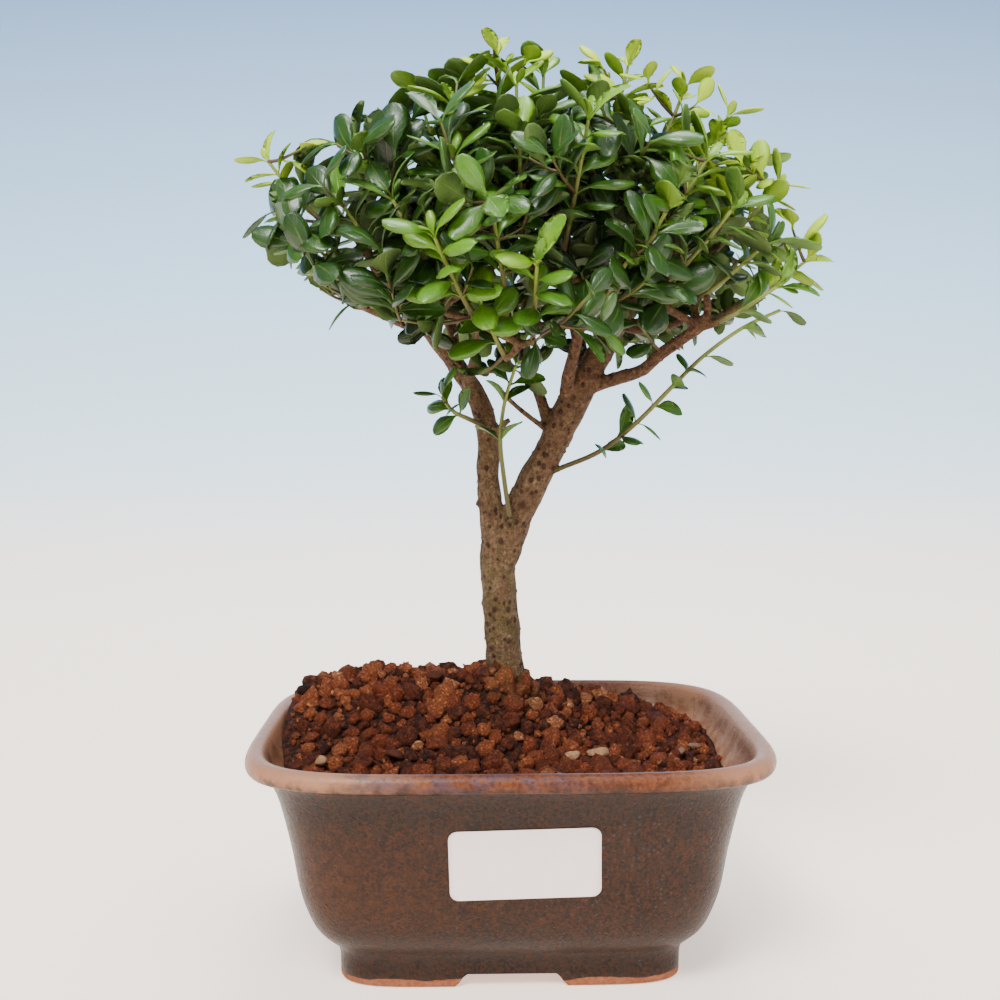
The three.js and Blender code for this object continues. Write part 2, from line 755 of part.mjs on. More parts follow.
// A shoot in one skin: a square stem whose sides run out into the blades at each pair
function shootSolid(shoot) {
  const stations = shootStations(shoot);
  const vertices = [];
  const rings = [];
  shoot.points.forEach((point, i) => {
    const tangent = tangentAt(shoot.points, i);
    const [first, second] = sideAxes(shoot.points[0], shoot.points.at(-1), tangent);
    const shifts = shoot.spots.includes(i) ? [-ROOT_HEIGHT / 2, ROOT_HEIGHT / 2] : [0];
    for (const shift of shifts) {
      rings.push({ start: vertices.length, spot: shift < 0 ? i : null });
      for (let corner = 0; corner < 4; corner++) {
        const angle = shoot.turn + ((2 * corner - 1) * Math.PI) / 4;
        const place = point.clone().addScaledVector(tangent, shift);
        place.addScaledVector(first, stations[i][3] * Math.cos(angle));
        vertices.push(place.addScaledVector(second, stations[i][3] * Math.sin(angle)));
      }
    }
  });
  const end = rings.at(-1).start;
  const triangles = [[0, 2, 1], [0, 3, 2], [end, end + 1, end + 2], [end, end + 2, end + 3]];
  for (let ring = 0; ring < rings.length - 1; ring++) {
    const { start, spot } = rings[ring];
    for (let side = 0; side < 4; side++) {
      const next = (side + 1) % 4;
      const [lowRight, lowLeft] = [start + side, start + next];
      const leaf = shoot.leaves.find((one) => one.spot === spot && one.side === side);
      if (leaf) addBlade(vertices, triangles, leaf, [lowLeft + 4, lowRight + 4, lowLeft, lowRight]);
      else triangles.push([lowRight, lowLeft, lowLeft + 4], [lowRight, lowLeft + 4, lowRight + 4]);
    }
  }
  return solidOf(geometryFrom(vertices, triangles));
}

function stemSamples(stations, owner) {
  const samples = [];
  for (let i = 1; i < stations.length; i++) {
    const [x0, y0, z0, r0] = stations[i - 1];
    const [x1, y1, z1, r1] = stations[i];
    const steps = Math.ceil(Math.hypot(x1 - x0, y1 - y0, z1 - z0));
    for (let step = 0; step <= steps; step++) {
      const share = step / steps;
      const point = new THREE.Vector3(mix(x0, x1, share), mix(y0, y1, share), mix(z0, z1, share));
      samples.push({ point, radius: mix(r0, r1, share), owner });
    }
  }
  return samples;
}

function shootStations(shoot) {
  return shoot.points.map(({ x, y, z }, i) => {
    const radius = mix(SHOOT_RADIUS.base, SHOOT_RADIUS.tip, i / (shoot.points.length - 1));
    return [x, y, z, radius];
  });
}

// Whether a blade stays clear of every stem and of the leaves placed before it
function isClear(samples, owner, stems, blades) {
  for (const { point, radius, owner: other } of stems) {
    if (other === owner) continue;
    const reach = radius + TWIG_CLEARANCE;
    if (samples.some((sample) => sample.distanceToSquared(point) < reach * reach)) return false;
  }
  const { middle } = BLADE_SAMPLES;
  for (const blade of blades) {
    if (blade.samples[middle].distanceTo(samples[middle]) > FAR_APART) continue;
    const reach = blade.owner === owner ? OWN_CLEARANCE : LEAF_CLEARANCE;
    for (const sample of samples) {
      if (blade.samples.some((placed) => placed.distanceToSquared(sample) < reach * reach)) return false;
    }
  }
  return true;
}

// Opposite pairs, each turned a quarter from the last; a leaf that would cross another is bent clear
function growLeaves(shoots, twigs) {
  const stems = [
    ...LIMBS.flatMap(({ points }) => stemSamples(points, -1)),
    ...twigs.flatMap((twig) => stemSamples(twig, -1)),
    ...shoots.flatMap((shoot, owner) => stemSamples(shootStations(shoot), owner)),
  ];
  const blades = [];
  shoots.forEach((shoot, owner) => {
    const draw = seeded(owner + 11);
    shoot.turn = draw() * Math.PI;
    shoot.leaves = [];
    shoot.spots.forEach((spot, pair) => {
      const isEnd = pair === shoot.spots.length - 1;
      for (const side of [pair % 2, (pair % 2) + 2]) {
        const turn = shoot.turn + (side * Math.PI) / 2 + (draw() - 0.5) * LEAF_SPREAD.turn;
        const tilt = (isEnd ? LEAF_TILT.end : LEAF_TILT.side) + (draw() - 0.5) * LEAF_SPREAD.tilt;
        const size = shoot.leaf * (isEnd ? END_LEAF : 1) * mix(LEAF_SPREAD.least, LEAF_SPREAD.most, draw());
        let placed = false;
        for (const lift of LIFTS) {
          for (const dodge of DODGES) {
            if (placed) continue;
            const leaf = leafFrame(shoot, spot, turn + dodge, tilt + lift, size);
            const samples = leafSamples(leaf);
            if (!isClear(samples, owner, stems, blades)) continue;
            blades.push({ owner, samples });
            shoot.leaves.push({ ...leaf, spot, side });
            placed = true;
          }
        }
      }
    });
  });
}

// Label

function wallDepth(z) {
  const levels = [[FOOT.halfWidth, 0], ...OUTER_WALL];
  const upper = levels.findIndex(([, level]) => level >= z);
  const [lowWidth, low] = levels[upper - 1];
  const [highWidth, high] = levels[upper];
  const depthAt = (halfWidth, level) =>
    halfWidth - mix(DEPTH_DROP.foot, DEPTH_DROP.rim, level / BEAD.z);
  return mix(depthAt(lowWidth, low), depthAt(highWidth, high), (z - low) / (high - low));
}

function labelSolid() {
  const { width, height, thickness, corner, x, z, turn } = LABEL;
  const right = width / 2 - corner;
  const top = height / 2 - corner;
  const shape = new THREE.Shape();
  shape.absarc(right, top, corner, 0, Math.PI / 2);
  shape.absarc(-right, top, corner, Math.PI / 2, Math.PI);
  shape.absarc(-right, -top, corner, Math.PI, 1.5 * Math.PI);
  shape.absarc(right, -top, corner, 1.5 * Math.PI, 2 * Math.PI);
  const card = new THREE.ExtrudeGeometry(shape, { depth: thickness, bevelEnabled: false, curveSegments: 2 });
  const low = wallDepth(z - height / 2);
  const high = wallDepth(z + height / 2);
  card.rotateZ(turn);
  card.rotateX(Math.PI / 2 + Math.atan2(high - low, height));
  const stand = Math.max((low + high) / 2, wallDepth(z)) + GAP;
  return solidOf(card.translate(x, -stand, z));
}

// Assembly

const shoots = [
  ...MATURE_SHOOTS.map((row, i) => crownShoot(row, i, "mature")),
  ...YOUNG_SHOOTS.map((row, i) => crownShoot(row, i, "young")),
  ...LOW_SHOOTS.map(lowShoot),
];
const twigs = growTwigs(shoots);
growLeaves(shoots, twigs);

function woodSolid() {
  const limbs = LIMBS.map(({ points, sides }) => solidOf(tube(points, sides)));
  const fine = twigs.map((twig) => solidOf(tube(twig, 3)));
  return [...limbs, ...fine].reduce((whole, part) => whole.add(part), stumpSolid());
}

const plant = new THREE.Group();
plant.add(meshOf("pot", potSolid(), "glaze"));
plant.add(meshOf("soil", soilSolid(), "soil"));
plant.add(meshOf("wood", woodSolid(), "bark"));
plant.add(meshOf("label", labelSolid(), "label"));
drainPlaces().forEach((x, i) => {
  plant.add(meshOf(`screen_${i + 1}`, screenSolid(x), "screen"));
});
for (const shoot of shoots) {
  plant.add(meshOf(shoot.name, shootSolid(shoot), shoot.kind));
}

// The origin is under the middle of the whole object's box
const box = new THREE.Box3().setFromObject(plant);
plant.position.set(-(box.min.x + box.max.x) / 2, -(box.min.y + box.max.y) / 2, 0);

const bonsai = new THREE.Group();
bonsai.add(plant);

export default bonsai;
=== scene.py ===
# %% [markdown]
# A small japanese holly bonsai in its glazed pot
#
# The real thing is a living tree about 19 cm tall, planted in an oblong pot of brown glazed stoneware.
# A trunk forks low into two limbs, twigs carry a dense crown of small glossy leaves, and coarse red-brown
# grains of baked clay fill the pot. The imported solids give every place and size. Each step below makes a
# finer piece that stands over one of them, first its shape and then its finish.

# %% Load the frame
import math

import json

import bpy
import numpy as np
from mathutils import Matrix, Vector, noise

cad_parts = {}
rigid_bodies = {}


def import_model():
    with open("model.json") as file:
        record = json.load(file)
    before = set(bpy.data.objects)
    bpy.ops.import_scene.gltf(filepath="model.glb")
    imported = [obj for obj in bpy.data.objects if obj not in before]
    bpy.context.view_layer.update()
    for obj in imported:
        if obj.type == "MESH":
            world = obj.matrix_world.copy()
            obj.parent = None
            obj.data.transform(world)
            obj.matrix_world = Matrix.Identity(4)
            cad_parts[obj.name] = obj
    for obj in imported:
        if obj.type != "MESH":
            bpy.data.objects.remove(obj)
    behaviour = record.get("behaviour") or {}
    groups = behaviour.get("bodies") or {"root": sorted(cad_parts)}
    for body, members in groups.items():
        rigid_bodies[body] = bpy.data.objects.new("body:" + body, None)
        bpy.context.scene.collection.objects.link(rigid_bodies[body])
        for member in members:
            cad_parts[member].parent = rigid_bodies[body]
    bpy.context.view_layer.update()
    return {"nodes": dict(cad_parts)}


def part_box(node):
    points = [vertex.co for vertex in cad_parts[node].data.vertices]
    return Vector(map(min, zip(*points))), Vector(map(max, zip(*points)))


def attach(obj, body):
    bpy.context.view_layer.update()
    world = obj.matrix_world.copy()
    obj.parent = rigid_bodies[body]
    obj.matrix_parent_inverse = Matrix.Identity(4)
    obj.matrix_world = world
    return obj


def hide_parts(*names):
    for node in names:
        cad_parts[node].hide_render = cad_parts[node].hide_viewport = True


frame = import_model()

MM = 0.001
pot_low, pot_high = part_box("pot")
pot_middle = np.array([pot_low.x + pot_high.x, pot_low.y + pot_high.y, 0.0]) / 2 / MM
print("middle of the pot in the frame, mm:", pot_middle.round(2))

# %% [markdown]
# Helpers for meshes
#
# Sizes are easiest to read in millimetres about the pot's middle, as a potter or a gardener would
# measure them. One helper turns such points into metres in the frame, so that every finished piece has
# its place in its mesh and its object stays at the origin.


# %% Mesh helpers
def in_frame(points):
    """Points in millimetres about the pot's middle, as metres in the frame."""
    return (np.asarray(points, float) + pot_middle) * MM


def make_mesh(name, points, faces):
    """A smooth-shaded mesh from points in metres and faces of any length."""
    mesh = bpy.data.meshes.new(name)
    mesh.from_pydata([tuple(point) for point in points], [], [tuple(face) for face in faces])
    mesh.polygons.foreach_set("use_smooth", [True] * len(mesh.polygons))
    mesh.update()
    return mesh


def make_object(name, mesh):
    """An object at the origin, unturned and unscaled."""
    made = bpy.data.objects.new(name, mesh)
    bpy.context.scene.collection.objects.link(made)
    return made


def store(mesh, name, values, kind="FLOAT", domain="POINT"):
    """Keeps one value for each point or face, for the node trees to read."""
    field = "vector" if kind == "FLOAT_VECTOR" else "value"
    mesh.attributes.new(name, kind, domain).data.foreach_set(field, np.asarray(values).ravel())


def loft_faces(rings, around):
    """Quads between rings of equal length, with a flat face on the first and last ring."""
    faces = []
    for ring in range(rings - 1):
        for i in range(around):
            after = (i + 1) % around
            low, high = ring * around, (ring + 1) * around
            faces.append((low + i, low + after, high + after, high + i))
    return [*faces, tuple(range(around - 1, -1, -1)), tuple(range((rings - 1) * around, rings * around))]


def seeded(seed):
    """A function that draws numbers from 0 to 1, always the same ones for a seed."""
    modulus = 2147483647
    state = [(seed * 7919 + 104729) % modulus]

    def draw():
        state[0] = state[0] * 48271 % modulus
        return state[0] / modulus

    return draw


def unit(vector):
    return vector / np.linalg.norm(vector)


def settle(piece):
    """Applies the piece's modifiers, so that only a plain mesh is left."""
    graph = bpy.context.evaluated_depsgraph_get()
    evaluated = piece.evaluated_get(graph)
    mesh = bpy.data.meshes.new_from_object(evaluated, preserve_all_data_layers=True, depsgraph=graph)
    piece.modifiers.clear()
    piece.data = mesh
    return mesh


def dress(piece, material):
    piece.data.materials.clear()
    piece.data.materials.append(material)


def hand_over(piece, slot, *nodes):
    """Hides the solids that the piece stands for, joins it to the root body and prints its triangles; the
    slot is not used.
    """
    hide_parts(*nodes)
    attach(piece, "root")
    triangles = sum(len(face.vertices) - 2 for face in piece.data.polygons)
    print(piece.name, triangles, "triangles")


# %% [markdown]
# Helpers for node trees
#
# Materials and Geometry Nodes are both trees of nodes. Written out link by link they hide their idea, so
# a short helper adds a node and fills its sockets in one go. What a node gives is a Value. It takes the
# usual signs, so that a * b adds a node that multiplies, and a formula in a tree reads as a formula.


# %% Node helpers
class Value:
    """What a node gives. A sign between two of them, or one and a number, adds a maths node."""

    def __init__(self, socket):
        self.socket, self.tree = socket, socket.id_data

    def __abs__(self):
        return maths("ABSOLUTE", self)


SIGNS = {"add": "ADD", "sub": "SUBTRACT", "mul": "MULTIPLY", "truediv": "DIVIDE", "pow": "POWER"}
SIGNS |= {"lt": "LESS_THAN", "gt": "GREATER_THAN"}
for sign, operation in SIGNS.items():
    setattr(Value, f"__{sign}__", lambda self, other, kind=operation: maths(kind, self, other))
    setattr(Value, f"__r{sign}__", lambda self, other, kind=operation: maths(kind, other, self))


def fill(node, inputs):
    """Fills sockets of a node: a Value makes a link, anything else becomes the value on the socket."""
    for name, value in inputs.items():
        if isinstance(value, Value):
            value.tree.links.new(value.socket, node.inputs[name])
        else:
            node.inputs[name].default_value = value


def add(tree, kind, inputs, output=0, **settings):
    """Adds a node, sets it up, fills its sockets and returns one of its outputs."""
    node = tree.nodes.new(kind)
    for name, value in settings.items():
        setattr(node, name, value)
    fill(node, inputs)
    return Value(node.outputs[output])


def tree_of(*values):
    return next(value.tree for value in values if isinstance(value, Value))


def maths(operation, a, b=0.0):
    return add(tree_of(a, b), "ShaderNodeMath", {0: a, 1: b}, operation=operation)


def band(value, start, end, low=0.0, high=1.0):
    """Goes smoothly from low to high while value goes from start to end."""
    inputs = {"Value": value, "From Min": start, "From Max": end, "To Min": low, "To Max": high}
    return add(value.tree, "ShaderNodeMapRange", inputs, interpolation_type="SMOOTHSTEP")


def blend(share, under, over):
    """One colour over another, by the node's sockets for colours: 0, 6 and 7, and 2 for what it gives."""
    inputs = {0: share, 6: under, 7: over}
    return add(tree_of(share, under, over), "ShaderNodeMix", inputs, 2, data_type="RGBA")


def layers(ground, *coats):
    """Colours laid over a ground one after another, from pairs of a share and a colour."""
    for share, over in coats:
        ground = blend(share, ground, over)
    return ground


def ramp(value, stops):
    """Colours along a value, from a list of (place, colour)."""
    colours = add(value.tree, "ShaderNodeValToRGB", {0: value})
    elements = colours.socket.node.color_ramp.elements
    while len(elements) < len(stops):
        elements.new(0.5)
    for element, (place, shade) in zip(elements, stops):
        element.position, element.color = place, shade
    return colours


def attribute(material, name):
    """A value stored on the mesh."""
    return add(material.node_tree, "ShaderNodeAttribute", {}, 2, attribute_name=name)


def part(vector, number):
    """One of a vector's three numbers: 0 is x, 1 is y and 2 is z."""
    return add(vector.tree, "ShaderNodeSeparateXYZ", {0: vector}, number)


def scaled(vector, x, y, z):
    """The same pattern coordinates, stretched."""
    return add(vector.tree, "ShaderNodeMapping", {"Vector": vector, "Scale": (x, y, z)})


def colour(red, green, blue):
    """A colour given as on a screen, from 0 to 255, as the linear values that shaders take."""
    return tuple((share / 255) ** 2.2 for share in (red, green, blue)) + (1.0,)


def new_material(name):
    """A material, and the object's own coordinates in metres."""
    material = bpy.data.materials.new(name)
    material.use_nodes = True
    return material, add(material.node_tree, "ShaderNodeTexCoord", {}, 3)


def finish(material, inputs, height=None, depth=0.0, strength=1.0):
    """Fills the shader's sockets, with relief of a given depth in metres on top of the mesh."""
    shader = material.node_tree.nodes["Principled BSDF"]
    if height:
        relief = {"Height": height, "Distance": depth, "Strength": strength}
        inputs = inputs | {"Normal": add(material.node_tree, "ShaderNodeBump", relief)}
    fill(shader, inputs)
    return material


def new_group(name, kind, inputs, output, output_kind):
    """A tree with named inputs, where a number is an input's usual value and a word is its kind."""
    tree = bpy.data.node_groups.new(name, kind)
    for label, value in inputs.items():
        word = {float: "Float", int: "Int"}.get(type(value), value)
        socket = tree.interface.new_socket(label, in_out="INPUT", socket_type=f"NodeSocket{word}")
        if word != value:
            socket.default_value = value
    tree.interface.new_socket(output, in_out="OUTPUT", socket_type=f"NodeSocket{output_kind}")
    given = tree.nodes.new("NodeGroupInput").outputs
    return tree, {label: Value(given[label]) for label in inputs}, tree.nodes.new("NodeGroupOutput")


# %% [markdown]
# Two effects that several finishes share
#
# Glaze, bark, clay and leaves all show blotches of one tone in another, and most show small specks. Both
# are built once as a shader group with named inputs, so each material only says how large and how many.


# %% Blotches and specks
def blotches_group():
    """A mask of soft-edged blotches about Size across."""
    inputs = {"Vector": "Vector", "Size": 0.004, "Edge": 0.1, "Roughness": 0.6}
    group, given, result = new_group("Blotches", "ShaderNodeTree", inputs, "Mask", "Float")
    sockets = {"Vector": given["Vector"], "Scale": 1.0 / given["Size"], "Detail": 4.0}
    grey = add(group, "ShaderNodeTexNoise", sockets | {"Roughness": given["Roughness"]})
    fill(result, {"Mask": band(grey, 0.5 - given["Edge"], 0.5 + given["Edge"])})
    return group


def specks_group():
    """A mask of small round specks, one in each cell of Spacing, of which only a Share is kept."""
    inputs = {"Vector": "Vector", "Spacing": 0.003, "Radius": 0.0004, "Share": 0.5}
    group, given, result = new_group("Specks", "ShaderNodeTree", inputs, "Mask", "Float")
    sockets = {"Vector": given["Vector"], "Scale": 1.0 / given["Spacing"]}
    distance = add(group, "ShaderNodeTexVoronoi", sockets)
    cell_colour = Value(distance.socket.node.outputs["Color"])
    draw = add(group, "ShaderNodeSeparateColor", {0: cell_colour})
    size = given["Radius"] * band(draw, 0.0, 1.0, 1.6, 0.5)
    spot = band(distance * given["Spacing"], size * 0.5, size, 1.0, 0.0)
    fill(result, {"Mask": spot * (draw < given["Share"])})
    return group


BLOTCHES = blotches_group()
SPECKS = specks_group()


def blotches(place, size, edge=0.1, roughness=0.6):
    """Soft-edged blotches, with their size in millimetres."""
    inputs = {"Vector": place, "Size": size * MM, "Edge": edge, "Roughness": roughness}
    return add(place.tree, "ShaderNodeGroup", inputs, node_tree=BLOTCHES)


def specks(place, spacing, radius, share):
    """Small round specks, with their spacing and radius in millimetres."""
    inputs = {"Vector": place, "Spacing": spacing * MM, "Radius": radius * MM, "Share": share}
    return add(place.tree, "ShaderNodeGroup", inputs, node_tree=SPECKS)


# %% [markdown]
# The pot
#
# The pot is pressed in a mould: an oblong with round corners, a swelling wall, a waist above four corner
# feet and a thick rolled lip. Each level is a superellipse, a rectangle with corners of any roundness,
# whose corners get rounder towards the lip. Rings of that one formula, set at the heights of a smooth
# profile, give the whole shell in a single skin, inside and outside.

# %% Levels of the pot
AROUND = 200
WALL_STEP = 1.3
INSIDE_STEP = 2.5
FOOT_HEIGHT = 3.9
LIP = {"half_width": 69.4, "z": 61.7, "radius": 2.6}
LIP_ARC = range(-48, 176, 16)  # degrees, from the outside over the top to the inside
DEPTH_DROP = (14.2, 16.5)  # how much less deep than wide, at the foot and at the rim
CORNER_POWER = (7.0, 4.65)
OUTER_WALL = [(47.4, 4), (47.6, 6.6), (48.6, 9.3), (50.8, 11.6), (53.2, 14.4), (55.4, 18.5)]
OUTER_WALL += [(57.9, 26), (60.2, 38), (63.2, 50), (65.6, 56), (67.6, 58.8)]
INNER_WALL = [(66.2, 60.6), (65.2, 58), (61.4, 52), (57.2, 42), (53.6, 27), (49.6, 13)]
POT_FLOOR = (45, 9.5)
UNDERSIDE = [(30, FOOT_HEIGHT), (37.2, FOOT_HEIGHT), (38.2, FOOT_HEIGHT - 0.7), (38.6, 0.7), (39.3, 0)]
UNDERSIDE += [(46.6, 0), (47.3, 0.5)]
BARE_LEVELS = 6  # levels from the underside's middle that have no glaze
INSIDE_LEVELS = (26, 17)  # levels before the last one, between which the glaze turns to that of the inside


def mix(a, b, share):
    return a + (b - a) * share


def outline_radius(half_width, z, angles):
    """Distance from the middle to the pot's outline at each angle."""
    share = np.minimum(z / LIP["z"], 1)
    half_depth = half_width - mix(*DEPTH_DROP, share)
    power = mix(*CORNER_POWER, share)
    across = np.abs(np.cos(angles) / half_width) ** power
    along = np.abs(np.sin(angles) / half_depth) ** power
    return (across + along) ** (-1 / power)


def outline(half_width, z, count=AROUND):
    angles = np.arange(count) * math.tau / count
    radius = outline_radius(half_width, z, angles)
    return np.stack([radius * np.cos(angles), radius * np.sin(angles), np.full(count, float(z))], 1)


def smooth_path(points, step):
    """More points along a smooth curve through the given ones, about step apart."""
    points = np.asarray(points, float)
    ends = np.vstack([2 * points[0] - points[1], points, 2 * points[-1] - points[-2]])
    path = []
    for before, start, end, after in zip(ends, ends[1:], ends[2:], ends[3:]):
        count = max(1, round(float(np.linalg.norm((end - start)[:3])) / step))
        for share in np.arange(count) / count:
            pull = 2 * start + (end - before) * share
            bend = (2 * before - 5 * start + 4 * end - after) * share**2
            turn = (3 * start - before - 3 * end + after) * share**3
            path.append((pull + bend + turn) / 2)
    return np.array(path + [points[-1]])


OUTSIDE = smooth_path(OUTER_WALL, WALL_STEP)


def pot_profile():
    """Half widths and heights from the underside, up the outside, over the lip and down to the floor."""
    lip = []
    for angle in map(math.radians, LIP_ARC):
        half_width = LIP["half_width"] + LIP["radius"] * math.cos(angle)
        lip.append((half_width, LIP["z"] + LIP["radius"] * math.sin(angle)))
    inside = smooth_path(INNER_WALL, INSIDE_STEP)
    return np.array([*UNDERSIDE, *OUTSIDE, *lip, *inside, POT_FLOOR])


profile = pot_profile()
print("levels of the pot:", len(profile))

# %% [markdown]
# The feet are what is left of a ring under the pot once a wide shallow gap is cut in each side. No cutting
# is needed: the ring's points within a gap are pushed up to the underside. The drain holes are cut with a
# Boolean, because they go through two surfaces at once.

# %% Shell, feet and drain holes
FRONT_GAP = 13.6
SIDE_GAP = 10.0
GAP_SLOPE = 1.6
SIDES_FROM = 30  # beyond this distance from the middle a point lies on the left or right side
DRAIN = {"radius": 5.5, "apart": 46.0, "sides": 32}
FOOT_EDGE = 0.94  # share of the ring's height that a gap takes away
UNEVEN = {"depth": 0.22, "at": 60, "size": 34}  # so deep at this distance from the middle


def smooth_step(value, start, end):
    share = np.clip((value - start) / (end - start), 0, 1)
    return share * share * (3 - 2 * share)


def lift_gaps(points):
    """Pushes the foot ring up where it is open, leaving a thin edge."""
    front = smooth_step(np.abs(points[:, 0]), FRONT_GAP + GAP_SLOPE, FRONT_GAP - GAP_SLOPE)
    side = smooth_step(np.abs(points[:, 1]), SIDE_GAP + GAP_SLOPE, SIDE_GAP - GAP_SLOPE)
    is_open = np.where(np.abs(points[:, 0]) > SIDES_FROM, side, front)
    low = points[:, 2] < FOOT_HEIGHT
    room = (FOOT_HEIGHT - points[:, 2]) * FOOT_EDGE
    points[:, 2] += np.where(low, is_open * room, 0)


def swell(place):
    """The hand-pressed wall's slight unevenness, as a factor on its distance from the middle."""
    depth = noise.noise(Vector(place) / UNEVEN["size"]) * UNEVEN["depth"] * smooth_step(place[2], 6, 20)
    return 1 + depth / UNEVEN["at"]


def make_pot():
    rings = np.vstack([outline(half_width, z) for half_width, z in profile])
    lift_gaps(rings)
    for point in rings:
        point[:2] *= swell(point)
    mesh = make_mesh("pot", in_frame(rings), loft_faces(len(profile), AROUND))
    level = np.arange(len(profile))
    inner = smooth_step(level, *[len(profile) - before for before in INSIDE_LEVELS])
    store(mesh, "inner", np.repeat(inner, AROUND))
    store(mesh, "bare", np.repeat(level < BARE_LEVELS, AROUND).astype(float))
    pot = make_object("glazed_pot", mesh)
    angles = np.arange(DRAIN["sides"]) * math.tau / DRAIN["sides"]
    for x in (-DRAIN["apart"] / 2, DRAIN["apart"] / 2):
        ring = [(x + DRAIN["radius"] * math.cos(a), DRAIN["radius"] * math.sin(a)) for a in angles]
        points = [(*place, z) for z in (0, 2 * POT_FLOOR[1]) for place in ring]
        drill = make_object("drill", make_mesh("drill", in_frame(points), loft_faces(2, DRAIN["sides"])))
        cut = pot.modifiers.new("drain hole", "BOOLEAN")
        cut.operation = "DIFFERENCE"
        cut.solver = "EXACT"
        cut.object = drill
        settle(pot)
        bpy.data.objects.remove(drill)
    return pot


pot = make_pot()

# %% [markdown]
# The glaze is an iron glaze: rust brown where it is thin, slate blue where it pools, with both broken up
# in fine specks. It has run off the lip, which shows copper, and lies thicker in a band under the lip and
# at the waist. The feet stand free of glaze and show pink clay. Height in the object's own coordinates
# places the bands, blotches break their edges, and a light coat gives the satin shine.


# %% Glaze
def glaze_material():
    material, place = new_material("iron glaze")
    across, height = part(place, 0), part(place, 2)
    broad = blotches(place, 22, 0.12)
    middling = blotches(place, 5, 0.14)
    fine = blotches(place, 1.2, 0.12, 0.75)
    runs = blotches(scaled(place, 1, 1, 0.25), 1.5, 0.1, 0.75)
    ripple = (middling - 0.5) * 0.007
    level = height + ripple
    # Slate where it pools under the lip and at the waist, and more of it to the right
    under_lip = band(level, 0.042, 0.053) * band(level, 0.0605, 0.0585)
    pooled = maths("MAXIMUM", under_lip, band(level, 0.026, 0.012) * 0.8)
    drift = blotches(place, 2.2, 0.06, 0.7) * (broad * band(across, -0.06, 0.02, 0.2, 0.8))
    slate = blend(runs, colour(17, 13, 11), colour(36, 31, 28))
    rust = blotches(place, 0.9, 0.05, 0.6) * band(runs, 0.0, 1.0, 0.6, 0.25)
    blue = specks(place, 1.3, 0.34, 0.5) * fine * band(across, -0.06, 0.04, 0.15, 0.55)
    wall = layers(
        blend(fine, colour(22, 13, 8), colour(48, 29, 17)),
        (broad * 0.3 + band(across, -0.01, -0.06) * 0.3, colour(76, 46, 28)),
        (blotches(place, 2.8, 0.07, 0.7) * 0.5, colour(24, 18, 15)),
        (maths("MAXIMUM", pooled * 0.75, drift), slate),
        (rust * 0.42, colour(98, 54, 28)),
        (blue, colour(66, 64, 70)),
        (specks(place, 1.9, 0.4, 0.4) * fine * 0.6, colour(24, 16, 13)),
    )
    # Tan inside, with dark streaks
    inner = attribute(material, "inner")
    tan = blend(middling, colour(144, 96, 68), colour(174, 130, 102))
    tan = blend(specks(scaled(place, 1, 1, 0.3), 1.5, 0.3, 0.5) * 0.4, tan, colour(70, 44, 34))
    # Copper on the lip, paler at the corners where a reflection of the sky is painted, and with slate left
    # at the front
    worn = blotches(scaled(place, 0.35, 0.35, 1), 2.4, 0.08, 0.65)
    front = band(across, 0.02, -0.005, 0.0, 0.6) * band(across, -0.056, -0.046)
    copper = layers(
        blend(fine, colour(84, 46, 27), colour(114, 66, 42)),
        # Painted reflection of the sky: the lip's corners paler
        (band(abs(across), 0.025, 0.055) * 0.8, colour(168, 122, 95)),
        (worn * front, colour(66, 60, 74)),
    )
    lip = band(height + ripple * 0.25, 0.0585, 0.0632) * (1.0 - inner * 0.6)
    # Bare clay under the feet
    edge = height + (broad - 0.5) * 0.0009
    bare = maths("MAXIMUM", band(edge, 0.0023, 0.0019), attribute(material, "bare"))
    clay = blend(fine, colour(152, 98, 72), colour(134, 82, 58))
    body = layers(wall, (inner, tan), (lip, copper), (bare, clay))
    inputs = {"Base Color": body, "Roughness": band(fine, 0, 1, 0.3, 0.42) + bare * 0.4}
    inputs |= {"Coat Weight": 0.04 - bare * 0.04, "Coat Roughness": 0.25, "Specular IOR Level": 0.2}
    grain = fine * 0.4 - specks(place, 1.6, 0.3, 0.5)
    return finish(material, inputs, grain, 0.00014, 0.8)


dress(pot, glaze_material())
hand_over(pot, "glaze", "pot")

# %% [markdown]
# The label
#
# A white paper label sticks to the front wall. It is made blank. A flat card would stand off a wall that
# curves, so its points are laid on the wall itself: the pot's profile gives the half width at each height
# and the superellipse gives the depth there.

# %% Label
LABEL = {"width": 39.2, "height": 19.4, "corner": 2.4, "thickness": 0.18}
LABEL |= {"x": 3.0, "z": 38.3, "turn": 0.026, "gap": 0.08}
LABEL_STEPS = {"corner": 6, "up": 9, "across": 25}


def front_wall(x, z):
    """Depth of the pot's front face at a place on it."""
    half_width = np.interp(z, OUTSIDE[:, 1], OUTSIDE[:, 0])
    half_depth = half_width - mix(*DEPTH_DROP, z / LIP["z"])
    power = mix(*CORNER_POWER, z / LIP["z"])
    depth = -half_depth * (1 - abs(x / half_width) ** power) ** (1 / power)
    return depth * swell((x, depth, z))


